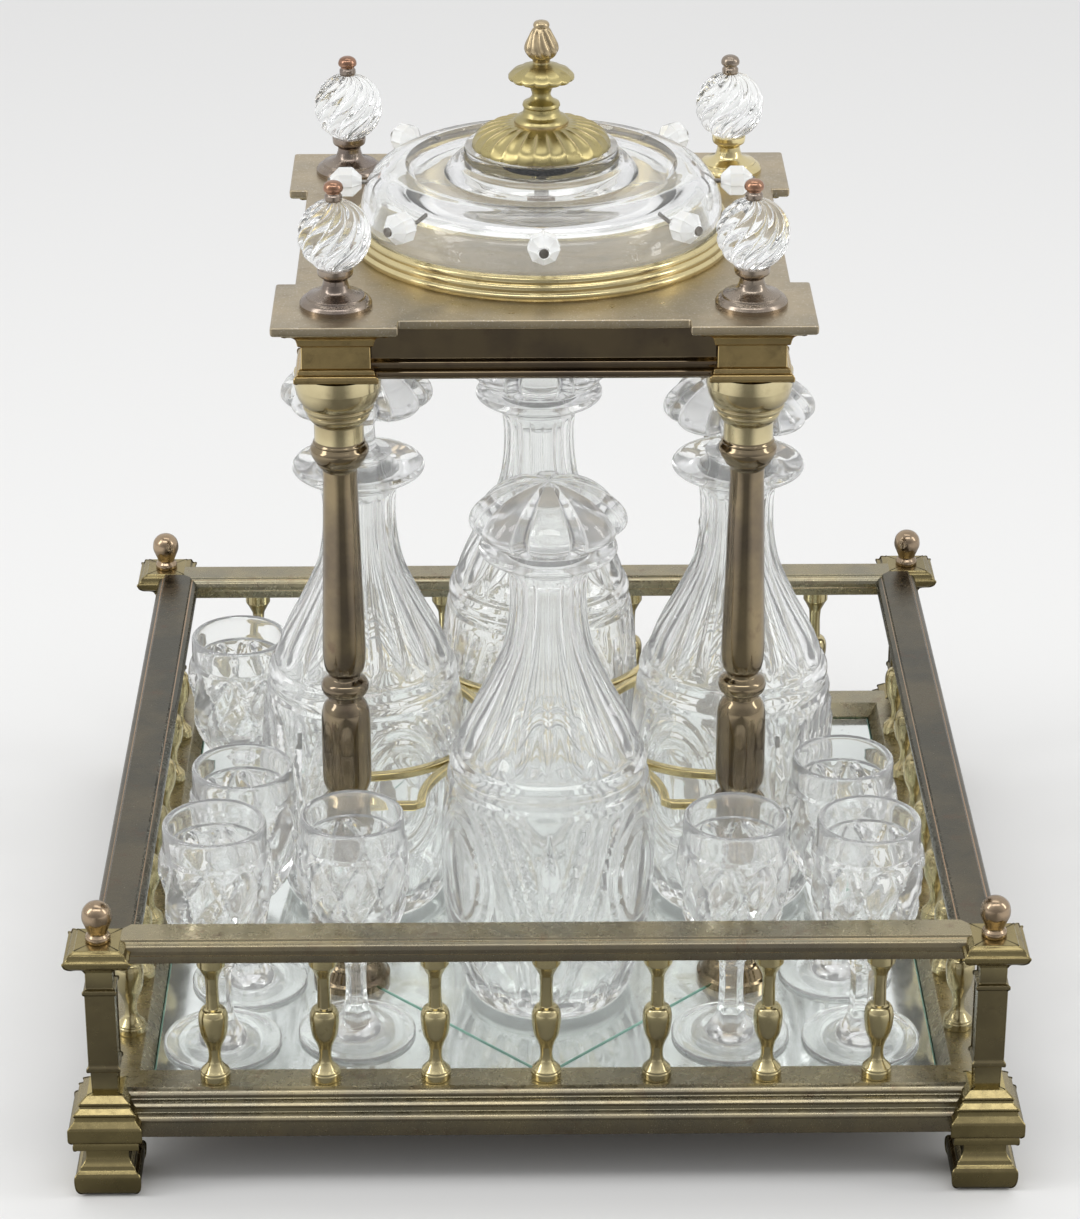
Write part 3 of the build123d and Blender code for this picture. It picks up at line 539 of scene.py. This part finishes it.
oneBaluster = balusterShape()
middle = (baluster["count"] - 1) / 2
balusterRow = joined([placed(oneBaluster, (n - middle) * baluster["pitch"], -baluster["line"])
                      for n in range(baluster["count"])])
for side, quarter in sideTurns.items():
    makePiece(f"balusters_{side}_turned", placed(balusterRow, quarter=quarter), [balusterBrass], "stand",
              [f"balusters_{side}"])
print("balusters made")


mirror = {"reach": 135.3, "gap": 0.45, "bevel": 0.55, "drop": 0.3, "thick": 3.0, "arris": 0.2}


def paneShape(points):
    m = mirror
    low = floorLevel - m["thick"]
    return slab(points, [(m["arris"], low), (0.0, low + m["arris"]), (0.0, floorLevel - m["drop"]),
                         (m["bevel"], floorLevel)])


def onTop(centres):
    # the level top is silvered and everything lower is the glass edge
    return np.where(centres[:, 2] > floorLevel - 0.02, 0, 1)


reach, gap = mirror["reach"], mirror["gap"]
centrePane = paneShape([(0, -reach), (reach, 0), (0, reach), (-reach, 0)])
cornerPane = paneShape([(-reach, -reach), (-gap, -reach), (-reach, -gap)])
cornerPanes = joined([placed(cornerPane, quarter=q) for q in range(4)])
for name, shape, node in (("mirrorCentre", centrePane, "mirror_centre_pane"),
                          ("mirrorCorners", cornerPanes, "mirror_corner_panes")):
    makePiece(name, shape, [oldMirror, greenPaneEdge], "stand", [node], smooth=10, pick=onTop,
              weighted=False)

columnAt = 69.0
columnParts = {
    "columnFeet": ("column_feet", columnBrass, 56, outline(
        (13.8, 29.0), (13.8, 31.6), (12.6, 32.6), (12.2, 33.6), [(10.8, 36.4), (9.4, 38.0)], (9.4, 40.0))),
    "columnShafts": ("columns", columnBrass, 48, outline(
        (7.6, 40.0), (7.6, 42.0), (5.8, 44.4), [(7.2, 46.2), (7.8, 48.0), (7.2, 49.8), (5.8, 51.5)],
        [(7.2, 60.0), (8.0, 75.0), (7.0, 88.0)], (9.0, 92.0), (9.0, 102.0), (6.6, 105.0), [(7.8, 107.6),
        (8.5, 111.0), (8.6, 122.0), (8.5, 134.0), (7.7, 138.8), (5.9, 141.6)], (5.9, 143.2), [(7.6, 144.2),
        (8.3, 146.4), (7.8, 148.4), (6.4, 149.6)], (5.6, 150.2), (5.6, 151.4), [(6.8, 153.4), (7.4, 158.0),
        (7.4, 166.0), (6.8, 187.0), (6.4, 203.0), (5.85, 225.0)], (5.95, 228.2), [(6.4, 229.0), (7.3, 230.0),
        (7.9, 230.7)], (8.1, 231.3), [(9.2, 233.0), (9.9, 234.8), (9.9, 236.2), (9.1, 237.4)], (8.8, 237.8),
        [(9.0, 238.3), (8.5, 239.0)], (8.4, 239.5), steps=5)),
    "columnCapitals": ("column_capitals", capitalBrass, 72, outline(
        (8.4, 239.5), (8.4, 245.6), (8.9, 246.3), (9.3, 246.5), [(10.2, 247.6), (10.7, 248.9), (10.5, 249.7)],
        (11.0, 250.1), [(11.7, 250.7), (12.0, 251.6), (11.8, 252.4)], (12.2, 252.8), [(13.3, 254.4),
        (14.1, 256.6), (14.6, 259.4)], (14.6, 264.0))),
    "finialFeet": ("swirl_finial_feet", footBrass, 56, outline(
        (12.1, 287.0), (12.1, 288.4), [(11.2, 289.6), (9.9, 290.2)], (9.7, 290.9), [(7.4, 291.6),
        (5.2, 292.8), (4.2, 295.0)], (4.0, 296.6), (4.6, 297.2), [(5.7, 298.0), (6.0, 299.2)], (6.0, 300.4))),
    "finialKnobs": ("swirl_finial_knobs", footBrass, 40, outline(
        (2.7, 323.6), [(2.9, 324.4), (2.9, 325.6)], (2.4, 326.1), (2.5, 326.8), [(3.2, 327.3), (3.3, 328.3),
        (2.8, 329.5), (1.6, 330.3), (0.0, 330.5)])),
}


def atBackRight(centres):
    return (centres[:, 0] > 0) & (centres[:, 1] > 0)


# the back right finial has a golden foot; the other three have copper crowns
variants = {"finialFeet": (ringBrass, atBackRight),
            "finialKnobs": (copperBrass, lambda centres: (centres[:, 2] > 326.5) & ~atBackRight(centres))}
for name, (node, material, columns, section) in columnParts.items():
    other, pick = variants.get(name, (None, None))
    makePiece(name, atCorners(turned(section, columns), columnAt), [material] + [other] * (other is not None),
              "stand", [node], pick=pick)
print("columns made")

swirlBall = {"radius": 12.3, "centre": 311.8, "flutes": 12, "depth": 1.5, "twist": 0.85, "low": 300.4,
             "high": 324.0, "columns": 224, "rows": 60}


def swirlBalls():
    s = swirlBall
    ends = [math.asin((s[end] - s["centre"]) / s["radius"]) for end in ("low", "high")]
    rise = np.linspace(*ends, s["rows"])
    section = np.column_stack([s["radius"] * np.cos(rise), s["centre"] + s["radius"] * np.sin(rise)])

    def swirl(angle, radius, height):
        # rounded ribs with sharp valleys: radius falls by depth times one less |sin| of half the flute angle,
        # which turns steadily with height
        up = (height - s["centre"]) / s["radius"]
        wave = np.abs(np.sin(s["flutes"] / 2 * (angle - s["twist"] * up)))
        fade = between(radius, 0, 0.45 * s["radius"])
        return radius - s["depth"] * (1 - wave ** 0.9) * fade, height

    ball = turned(section, s["columns"], swirl)
    makePiece("swirlBalls", atCorners(ball, columnAt), [clearGlass], "stand",
              ["swirl_finial_balls"], smooth=70, weighted=False)


swirlBalls()

canopy = {"half": 83.5, "corner": 21.0, "low": 283.5, "top": 287.0}


def canopyOutline():
    # one quarter of the edge from the middle of the front to the middle of the right, turned four times
    h, a, b = canopy["half"], columnAt - canopy["corner"], columnAt + canopy["corner"]
    quarter = [(a, -h), (a, -b), (b, -b), (b, -a), (h, -a)]
    return np.vstack([np.array(quarter) @ quarterTurn(n).T for n in range(4)])


slabLevels = [(1.6, canopy["low"]), (0.5, 283.8), (0.1, 284.3), (0.0, 285.0), (0.0, 286.4), (0.2, 286.8),
              (0.6, canopy["top"])]
makePiece("canopySlab", slab(canopyOutline(), slabLevels, 0.7), [plateBrass], "stand",
          ["canopy_plate"])
blockSection = outline((13.4, 264.0), (14.1, 264.5), [(14.2, 265.6), (13.8, 266.6), (12.9, 267.2)],
                       (12.9, 267.8), [(12.6, 268.6), (11.6, 269.0)], (11.5, 276.6), (12.6, 277.2),
                       (12.8, 278.4), [(13.4, 280.0), (15.0, 281.4), (16.8, 281.9)], (17.6, 282.4),
                       (17.6, 283.6))
makePiece("canopyBlocks", atCorners(squareTurned(blockSection), columnAt), [blockBrass], "stand",
          ["canopy_corner_blocks"])
beamSection = outline((65.0, 264.0), (65.0, 283.5), (80.0, 283.5), (78.8, 282.2), (76.0, 281.4),
                      (76.0, 270.9), (76.8, 270.5), [(77.7, 270.0), (78.0, 269.0), (77.8, 268.0),
                      (77.0, 267.5)], [(78.4, 267.0), (78.9, 266.0), (78.6, 265.0), (77.8, 264.5)],
                      (77.4, 264.0), (65.0, 264.0), soften=0.2, steps=4, closed=True)
beam = mitredRail(beamSection[::-1])
makePiece("canopyBeams", joined([placed(beam, quarter=q) for q in range(4)]), [columnBrass], "stand",
          ["canopy_beams"])

domeRing = outline((63.0, 287.0), (66.6, 287.0), [(67.0, 288.0), (66.9, 289.0), (66.0, 289.8)],
                   [(66.1, 290.8), (65.8, 291.8), (64.9, 292.4)], [(65.0, 293.2), (64.7, 294.2),
                   (63.9, 294.8)], (63.0, 295.0), (63.0, 287.0), soften=0.15, steps=5, closed=True)
makePiece("domeRing", turned(domeRing, 160, ring=True), [ringBrass], "stand", ["dome_ring"])
print("canopy made")

domeGlass = outline((57.4, 287.05), (62.4, 287.05), (62.4, 295.5), [(62.6, 299.5), (61.4, 304.6),
                    (58.2, 309.2), (53.4, 312.4), (47.0, 313.7)], [(45.6, 312.0), (44.2, 310.8)],
                    [(39.0, 310.4), (33.5, 310.6)], [(32.4, 312.4), (30.4, 314.4), (28.2, 315.2)],
                    (27.0, 316.4), (26.4, 320.0), (2.5, 320.0), (2.5, 312.0), (21.0, 312.0), [(26.0, 309.0),
                    (30.0, 306.2)], [(45.0, 305.6), (52.5, 304.0), (56.0, 299.0), (57.4, 287.05)], soften=0.5,
                    steps=6, closed=True)
makePiece("domeGlass", turned(domeGlass, 192, ring=True), [clearGlass], "lid", ["dome_glass"],
          smooth=50, weighted=False)

gadroonCap = {"outer": 24.0, "lobes": 26, "swell": 0.9, "bite": 0.3}


def gadrooned(outer, lobes, swell, bite):
    # thin ridges that widen outwards: between them the height falls by swell times |sin| of half the lobe
    # angle, scaled by distance, and the rim draws in by bite at each ridge
    def cut(angle, radius, height):
        flute = np.abs(np.sin(lobes / 2 * angle)) ** 0.5
        far = between(radius, 0.42 * outer, 0.92 * outer)
        return radius - bite * (1 - flute) * far ** 2, height - swell * flute * np.sin(far * math.pi * 0.62)
    return cut


capSection = outline((22.6, 320.0), (23.6, 320.0), [(24.0, 320.8), (23.6, 322.2), (22.0, 324.2),
                     (19.0, 325.9), (15.0, 327.2), (11.0, 327.8), (9.6, 327.9)], (9.4, 328.0), soften=0.1,
                     steps=8)
makePiece("domeCap", turned(capSection, 12 * gadroonCap["lobes"], gadrooned(**gadroonCap)), [finialBrass],
          "lid", ["dome_cap"], smooth=60)

stemSection = outline((9.4, 328.0), (9.4, 329.0), [(8.6, 330.0), (7.0, 330.8)], [(6.2, 332.2), (6.1, 333.6)],
                      [(6.5, 334.2), (6.2, 335.2)], [(4.4, 336.2), (3.3, 337.6), (3.3, 338.8)], [(4.2, 340.6),
                      (7.0, 342.4), (10.4, 343.6), (11.4, 344.4)], [(11.3, 345.2), (9.6, 346.7), (6.6, 347.9),
                      (3.7, 348.7)], (2.9, 349.0), (2.9, 349.6), soften=0.15, steps=6)


disc = {"petals": 14, "from": 5.5, "to": 10.5, "above": 339.5, "swell": 0.5, "bite": 0.35}


def discPetals(angle, radius, height):
    # thin ridges on the disc only: between them its face falls by |sin| of half the petal angle
    flute = np.abs(np.sin(disc["petals"] / 2 * angle)) ** 0.6
    far = between(radius, disc["from"], disc["to"]) * (height > disc["above"])
    return radius - disc["bite"] * (1 - flute) * far, height - disc["swell"] * flute * far


makePiece("finialStem", turned(stemSection, 168, discPetals), [finialBrass], "lid",
          ["finial_stem"], smooth=60)

budSection = outline((2.9, 349.6), (3.2, 350.6), [(4.7, 351.6), (5.8, 353.2), (5.9, 355.0), (5.0, 357.4),
                     (3.7, 360.0), (2.6, 361.6)], [(2.8, 362.5), (2.1, 363.6), (0.0, 364.1)], soften=0.1,
                     steps=7)


bud = {"ribs": 9, "lean": 0.06, "depth": 0.85, "low": 351.0, "high": 361.4, "fade": 1.5}


def budFlutes(angle, radius, height):
    # leaf ribs that lean round as they rise, pressed in between by |sin| of half the rib angle
    low, high = bud["low"], bud["high"]
    rib = np.abs(np.sin(bud["ribs"] / 2 * (angle + bud["lean"] * (height - 350.0)))) ** 0.6
    full = between(height, low, low + bud["fade"]) * between(height, high, high - bud["fade"])
    return radius - bud["depth"] * (1 - rib) * full, height


makePiece("finialBud", turned(budSection, 144, budFlutes), [budBrass], "lid", ["finial_bud"],
          smooth=60)

beads = {"count": 8, "away": 67.6, "height": 306.5, "radius": 5.9, "hole": 0.9}


def beadShape():
    # a ball with eight sides and five belts, all flat, drilled along the line out from the dome's middle
    b = beads
    tilt = np.radians([-67.5, -22.5, 22.5, 67.5])
    belt = np.column_stack([b["radius"] * np.cos(tilt), b["radius"] * np.sin(tilt)])
    section = np.vstack([(b["hole"], belt[0, 1]), belt, (b["hole"], belt[-1, 1])])
    vertices, faces = turned(section, 8, ring=True)
    outward = np.stack([vertices[:, 2] + b["away"], vertices[:, 1], b["height"] - vertices[:, 0]], axis=-1)
    return joined([rotated((outward, faces), 2 * math.pi * n / b["count"]) for n in range(b["count"])])


makePiece("glassBeads", beadShape(), [cutGlass], "lid", ["glass_beads"], smooth=0,
          weighted=False)
print("lid made")

holderBand = {"centre": 64.0, "radius": 43.3, "width": 3.2, "low": 95.5, "high": 98.5, "armEnd": 61.0}


def bandShape():
    # a strip along a line: straight arm, half circle, straight arm, with a soft four-sided section
    b = holderBand
    half = b["width"] / 2
    arc = np.linspace(0, np.pi, 41)
    spine = np.column_stack([b["radius"] * np.cos(arc), -b["centre"] + b["radius"] * np.sin(arc)])
    outward = np.column_stack([np.cos(arc), np.sin(arc)])
    armY = -b["centre"] - half
    right = np.array([(b["armEnd"], armY), (b["radius"] + 2.5, armY)])
    left = right[::-1] * [-1, 1]
    spine = np.vstack([right, spine, left])
    outward = np.vstack([[(0, 1)] * 2, outward, [(0, 1)] * 2])
    section = softened([(-half, b["low"]), (half, b["low"]), (half, b["high"]), (-half, b["high"])], 0.7,
                       closed=True)
    x = spine[:, None, 0] + outward[:, None, 0] * section[None, :, 0]
    y = spine[:, None, 1] + outward[:, None, 1] * section[None, :, 0]
    z = np.broadcast_to(section[None, :, 1], x.shape)
    faces = [face[::-1] for face in cappedFaces(len(spine), len(section))]
    return np.stack([x, y, z], axis=-1).reshape(-1, 3), faces


for side, quarter in sideTurns.items():
    makePiece(f"holderBand_{side}_strip", placed(bandShape(), quarter=quarter), [ringBrass], "stand",
              [f"holder_band_{side}"])


def nodeCentre(node):
    low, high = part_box(node)
    return (low.x + high.x) / 2 / mm, (low.y + high.y) / 2 / mm


def vCut(distance, width, depth):
    # groove with straight sides: deepest on its line and nothing beyond its half width
    return depth * np.clip(1 - np.abs(distance) / width, 0, 1)


def wrapped(value, period):
    return (value + period / 2) % period - period / 2


# a pair is a width and a depth; a leaf groove has its place low down, its place high up and its bend
decanter = {"lip": 202.5, "radius": 37.7, "repeats": 3, "flutes": 16, "oval": (10.0, 0.9), "ovalTall": 15.5,
            "ovalAt": 84.0, "frame": (0.16, 0.8), "leaf": (2.9, 1.5), "almond": (4.6, 1.5), "fans": 24,
            "fan": (3.4, 1.2), "leaves": ((-9.5, -28.0, 2.6), (-5.0, -21.0, 2.6), (-1.0, -14.0, 2.6),
                                          (-4.5, 12.5, 1.1), (0.0, 19.5, 1.1), (5.5, 27.0, 1.1))}


def decanterOutside():
    return outline((0.0, 31.2), [(22.0, 30.4), (26.6, 29.06)], (27.6, 29.06), [(29.4, 31.4), (31.2, 37.0),
                   (33.8, 46.0), (36.4, 60.0), (37.6, 76.0), (37.6, 92.0), (36.6, 106.0), (35.3, 114.4)],
                   (34.1, 115.6), (34.0, 118.2), (34.6, 119.0), [(34.4, 121.4), (33.4, 123.6)], (32.2, 124.6),
                   [(31.2, 129.0), (27.4, 138.0), (22.9, 146.6), (18.9, 155.0), (15.8, 162.5), (14.1, 170.5),
                   (13.3, 178.5), (13.3, 186.0), (13.9, 192.0), (14.4, 194.0)], [(16.4, 195.4), (20.0, 197.2),
                   (23.0, 199.0), (23.7, 200.4), (22.8, 202.0)], [(16.0, 202.4), (8.8, 202.5)], soften=0.35,
                   steps=5)


def decanterInside():
    return outline((8.8, 202.5), (7.7, 201.6), (7.6, 185.0), [(8.2, 174.0), (10.4, 164.0), (15.0, 153.0),
                   (21.0, 141.0), (27.0, 129.0), (31.0, 116.0), (33.0, 98.0), (33.0, 80.0), (31.4, 58.0),
                   (29.0, 45.0), (26.0, 38.6), (20.0, 36.6), (0.0, 36.2)], soften=0.35, steps=4)


def decanterCut(angle, radius, height):
    # cuts are taken off the outer wall only: neck flutes, framed ovals, crossing leaves and an almond
    d = decanter
    outer = radius > np.interp(height, [29, 36, 37, 60, 90, 116, 140, 165, 185, 203],
                               [99, 99, 29.5, 33.4, 34.6, 32.8, 24.6, 12.4, 10.4, 10.4])
    period = 2 * np.pi / d["repeats"]
    arc = wrapped(angle + np.pi / 2, period) * d["radius"]
    ovalArc = wrapped(angle + np.pi / 2 + period / 2, period) * d["radius"]
    oval = np.sqrt((ovalArc / d["oval"][0]) ** 2 + ((height - d["ovalAt"]) / d["ovalTall"]) ** 2)
    cut = d["oval"][1] * np.clip(1 - oval ** 2, 0, 1) ** 0.5
    cut += vCut(oval - 1.3, *d["frame"]) + vCut(oval - 1.7, *d["frame"])
    beyondOval = between(oval, 1.85, 1.95)
    for start, stop, bend in d["leaves"]:
        lineAt = start + (stop - start) * between(height, 36.0, 112.0) ** bend
        cut = np.maximum(cut, vCut(arc - lineAt, *d["leaf"]) * beyondOval * between(height, 112.0, 108.0))
    wide, deep = d["almond"]
    wide = wide * np.sqrt(between(height, 78.0, 86.0)) * between(height, 109.0, 87.0)
    cut += vCut(arc, np.maximum(wide, 0.3), deep) * (wide > 0.3)
    fan = vCut(wrapped(angle, 2 * np.pi / d["fans"]) * d["radius"], *d["fan"])
    cut += fan * between(height, 48.0, 40.0) * between(height, 32.0, 35.0)
    neck = between(height, 126.0, 131.0) * between(height, 193.5, 190.5)
    cut += neck * (0.95 + 0.04 * (radius - 13.3)) * np.abs(np.sin(d["flutes"] / 2 * angle)) ** 0.9
    return radius - np.where(outer, cut, 0.0), height


stopper = {"petals": 8, "groove": 6.2, "radius": 27.0}


def stopperShape(rise, deep):
    z = decanter["lip"] + 0.1
    base = z + rise
    if rise:
        neck = [(7.3, z + 1.0), (11.4, z + 2.0), [(12.0, z + 3.0), (11.4, z + 4.0)], (6.6, z + 5.2),
                [(6.0, base - 4.0), (7.0, base - 1.0), (10.0, base + 1.0)],
                [(17.0, base + 2.4), (22.0, base + 4.2)]]
    else:
        neck = [(7.3, z + 0.3), (18.6, z + 0.3), [(20.4, z + 1.4), (22.0, z + 3.2)]]
    section = outline((0.0, z - deep), (6.2, z - deep), (6.8, z - deep + 0.6), (7.3, z - 2.0), *neck,
                      [(24.8, base + 4.6), (26.6, base + 6.2), (27.0, base + 8.0), (26.4, base + 10.2),
                       (23.8, base + 13.6), (19.0, base + 17.4), (12.6, base + 20.5), (6.0, base + 22.0),
                       (0.0, base + 22.2)], soften=0.25, steps=5)

    def petals(angle, radius, height):
        # rounded petals, one to the front, with steep grooves between them: t runs from 0 on a petal's middle
        # to 1 in the groove; the surface falls by t squared and, past 0.7, by a straight share
        half = np.pi / stopper["petals"]
        t = np.abs(wrapped(angle, 2 * half)) / half
        far = between(radius, 0, stopper["radius"]) ** 0.7
        head = between(height, base + 0.8, base + 3.8)
        drop = head * far * stopper["groove"] * (0.38 * t ** 2 + 0.62 * between(t, 0.7, 1.0))
        up = between(height, base + 8.0, base + 16.0)
        return radius - drop * (1 - 0.55 * up), height - drop * 0.8 * up

    return turned(denser(section, 1.1), 256, petals)


def inNeck(centres):
    # a stopper's ground plug is frosted and its head is clear
    return np.where(centres[:, 2] < decanter["lip"] + 0.05, 1, 0)


wall = np.vstack([denser(decanterOutside(), 1.5), denser(decanterInside(), 3.5)[1:]])
oneDecanter = turned(wall, 224, decanterCut)
# how far each decanter is turned, how high its stopper's head stands and how deep the plug goes
decanterStyle = {"front": (0.0, 0.0, 16.0), "left": (-0.65, 18.0, 14.0), "right": (0.4, 12.0, 14.0),
                 "back": (0.9, 0.0, 16.0)}
for side in sideTurns:
    x, y = nodeCentre(f"decanter_{side}")
    turn, rise, deep = decanterStyle[side]
    makePiece(f"decanter_{side}_cut", placed(rotated(oneDecanter, turn), x, y), [cutGlass],
              f"{side}_decanter", [f"decanter_{side}"], smooth=30, weighted=False)
    makePiece(f"stopper_{side}_cut", placed(stopperShape(rise, deep), x, y), [headGlass, frostedGlass],
              f"{side}_stopper", [f"stopper_{side}"], smooth=30, weighted=False, pick=inNeck)
print("decanters made")

# a cut is a width, as a share of a leaf's, and a depth; each next goblet is turned further by the turn
goblet = {"leaves": 8, "swirl": 0.03, "middle": 85.0, "leafAt": 86.5, "leafTall": 18.5, "leaf": (0.47, 1.9),
          "edge": (0.06, 0.7), "crossing": (0.11, 1.2), "flats": 6, "flatDeep": 4.4, "turn": 0.37}


def gobletSection():
    outside = outline((0.0, 30.6), [(14.0, 30.2), (19.6, 29.06)], (20.5, 29.3), [(20.6, 30.2), (19.6, 31.0),
                      (13.0, 32.0), (7.4, 34.4), (4.9, 39.0)], [(4.2, 46.0), (4.1, 54.0), (4.5, 59.6)],
                      (5.6, 60.6), [(5.8, 62.0), (5.4, 63.2)], [(10.4, 66.2), (15.0, 72.4), (17.9, 80.6),
                      (19.3, 89.0), (19.8, 97.0), (19.6, 102.4), (18.8, 105.8)], (17.9, 107.0), (17.8, 114.8),
                      [(17.6, 115.9), (16.8, 116.5), (15.9, 116.0)], soften=0.3, steps=5)
    inside = outline((15.9, 116.0), (15.6, 114.6), [(15.5, 106.0), (15.9, 98.0), (15.2, 88.0), (12.6, 80.0),
                     (8.0, 74.6), (4.0, 73.0), (0.0, 72.6)], soften=0.3, steps=4)
    return np.vstack([denser(outside, 1.1), denser(inside, 3.0)[1:]])


def gobletCut(angle, radius, height):
    # leaves lean round the bowl: each is an almond hollow edged by V cuts; the stem has six flats
    g = goblet
    outer = radius > np.interp(height, [60, 72, 76, 83, 92, 105, 118], [0, 2, 11.2, 15.0, 16.9, 16.9, 16.8])
    outer |= height < 72.5
    period = 2 * np.pi / g["leaves"]
    lean = g["swirl"] * (height - g["middle"])
    cell = wrapped(angle - lean, period) / period
    crossing = wrapped(angle + 0.6 * lean + period / 2, period) / period
    wide, deep = g["leaf"]
    wide = wide * np.sqrt(np.clip(1 - ((height - g["leafAt"]) / g["leafTall"]) ** 2, 0, 1))
    leaf = vCut(cell, np.maximum(wide, 0.05), 1.0) * (wide > 0.05)
    cut = deep * leaf ** 0.8 + vCut(cell, *g["edge"]) + vCut(crossing, *g["crossing"])
    bowl = between(height, 66.0, 68.0) * between(height, 106.0, 104.0)
    low = between(height, 76.0, 71.0) * between(height, 63.5, 65.5)
    cut = cut * bowl * (1 - 0.6 * low) + 0.6 * low * np.abs(np.cos(g["leaves"] * angle))
    stem = between(height, 36.0, 40.0) * between(height, 59.8, 57.8)
    cut += stem * (0.12 - 1 + np.cos(wrapped(angle, 2 * np.pi / g["flats"]))) * g["flatDeep"]
    return radius - np.where(outer, cut, 0.0), height


oneGoblet = turned(gobletSection(), 144, gobletCut)
gobletSpots = [node[len("goblet_"):] for node in sorted(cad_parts) if node.startswith("goblet_")]
for number, spot in enumerate(gobletSpots):
    x, y = nodeCentre(f"goblet_{spot}")
    makePiece(f"goblet_{spot}_cut", placed(rotated(oneGoblet, goblet["turn"] * number), x, y), [cutGlass],
              f"{spot}_goblet", [f"goblet_{spot}"], smooth=30, weighted=False)
print("goblets made")

for nodes, material in ((("base_board",), stainedWood),
                        (("post_rods", "tie_rods", "finial_rod", "bead_pins"), darkIron),
                        (("tie_rod_nuts", "finial_nut"), footBrass)):
    for node in nodes:
        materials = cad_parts[node].data.materials
        materials.clear()
        materials.append(material)
print("plain nodes finished")


def floorMaterial():
    # pale to the eye and through glass; metal sees it dark in front and behind, and pale beyond the sides
    material, tree, shader = newMaterial("paleFloor")
    split = tree.nodes.new("ShaderNodeSeparateXYZ")
    tree.links.new(tree.nodes.new("ShaderNodeTexCoord").outputs["Object"], split.inputs[0])
    outward = mathNode(tree, "ABSOLUTE", split.outputs["X"])
    seen = rampNode(tree, outward, [(0.14, (0.24, 0.24, 0.23)), (0.42, (0.88, 0.88, 0.87))])
    ray = tree.nodes.new("ShaderNodeLightPath").outputs
    onMetal = mathNode(tree, "GREATER_THAN", ray["Is Glossy Ray"], ray["Transmission Depth"])
    tree.links.new(mixNode(tree, onMetal, (0.8, 0.8, 0.79), seen), shader.inputs["Base Color"])
    shader.inputs["Roughness"].default_value = 0.9
    shader.inputs["Specular IOR Level"].default_value = 0.1
    return material


floorMesh = bpy.data.meshes.new("floor")
floorMesh.from_pydata([(-12, -12, 0), (12, -12, 0), (12, 12, 0), (-12, 12, 0)], [], [(0, 1, 2, 3)])
floor = bpy.data.objects.new("floor", floorMesh)
scene.collection.objects.link(floor)
floorMesh.materials.append(floorMaterial())

# each lamp's place, size and power
lamps = {"left": ((-1.5, -0.5, 1.3), (0.45, 1.3), 8), "right": ((1.6, -0.3, 1.1), (0.3, 1.2), 5),
         "above": ((0.1, 0.4, 2.0), (1.3, 0.5), 4), "front": ((0.0, -0.8, 1.8), (1.8, 0.35), 7)}
for name, (place, size, power) in lamps.items():
    light = bpy.data.lights.new(name + "Softbox", "AREA")
    light.shape = "RECTANGLE"
    light.size, light.size_y = size
    light.energy = power
    lamp = bpy.data.objects.new(name + "Softbox", light)
    scene.collection.objects.link(lamp)
    lamp.location = place
    lamp.rotation_euler = (Vector((0, 0, 0.15)) - Vector(place)).to_track_quat("-Z", "Y").to_euler()


def paleWorld():
    # the eye sees an even pale sky; metal sees it bright behind and beside the object up to about fifty
    # degrees, greyer overhead and darker towards the camera; glass sees bands of grey and white higher up
    world = bpy.data.worlds.new("studio")
    scene.world = world
    world.use_nodes = True
    tree = world.node_tree
    background = tree.nodes["Background"]
    split = tree.nodes.new("ShaderNodeSeparateXYZ")
    tree.links.new(tree.nodes.new("ShaderNodeTexCoord").outputs["Generated"], split.inputs[0])
    byHeight = rampNode(tree, split.outputs["Z"], [(0.0, 0.88), (0.66, (0.94, 0.94, 0.95)),
                                                   (0.92, (0.8, 0.8, 0.81)), (0.97, (0.45, 0.45, 0.46))])
    fromFront = mathNode(tree, "MULTIPLY_ADD", split.outputs["Y"], 0.5, 0.5)
    shade = rampNode(tree, fromFront, [(0.05, 0.7), (0.3, 0)])
    reflected = mixNode(tree, shade, byHeight, (0.2, 0.2, 0.21))
    bent = rampNode(tree, split.outputs["Z"], [(0.12, (0.92, 0.92, 0.925)), (0.3, (0.82, 0.82, 0.83)),
                                               (0.45, (0.76, 0.76, 0.77)), (0.6, 1.0),
                                               (0.75, (0.76, 0.76, 0.77)), (1.0, 1.0)])
    inGlass = mixNode(tree, shade, bent, (0.66, 0.66, 0.67))
    ray = tree.nodes.new("ShaderNodeLightPath").outputs
    throughGlass = mathNode(tree, "MINIMUM", ray["Transmission Depth"], 1.0)
    reflected = mixNode(tree, throughGlass, reflected, inGlass)
    tree.links.new(mixNode(tree, ray["Is Camera Ray"], reflected, (0.9, 0.9, 0.905)),
                   background.inputs["Color"])
    background.inputs["Strength"].default_value = 1.0


paleWorld()

cameraPlace = {"at": (-15.3, -1260.1, 739.1), "down": 25.198, "turn": 0.675, "focal": 3820.3,
               "longSide": 1219.0, "sensor": 36.0}
lens = bpy.data.cameras.new("camera")
lens.sensor_width = cameraPlace["sensor"]
lens.lens = cameraPlace["focal"] * cameraPlace["sensor"] / cameraPlace["longSide"]
lens.clip_start, lens.clip_end = 0.05, 60.0
camera = bpy.data.objects.new("camera", lens)
scene.collection.objects.link(camera)
camera.location = Vector(cameraPlace["at"]) * mm
camera.rotation_euler = (math.radians(90 - cameraPlace["down"]), 0, math.radians(-cameraPlace["turn"]))
scene.camera = camera
scene.view_settings.view_transform = "Standard"
print("stage, lamps and camera made")
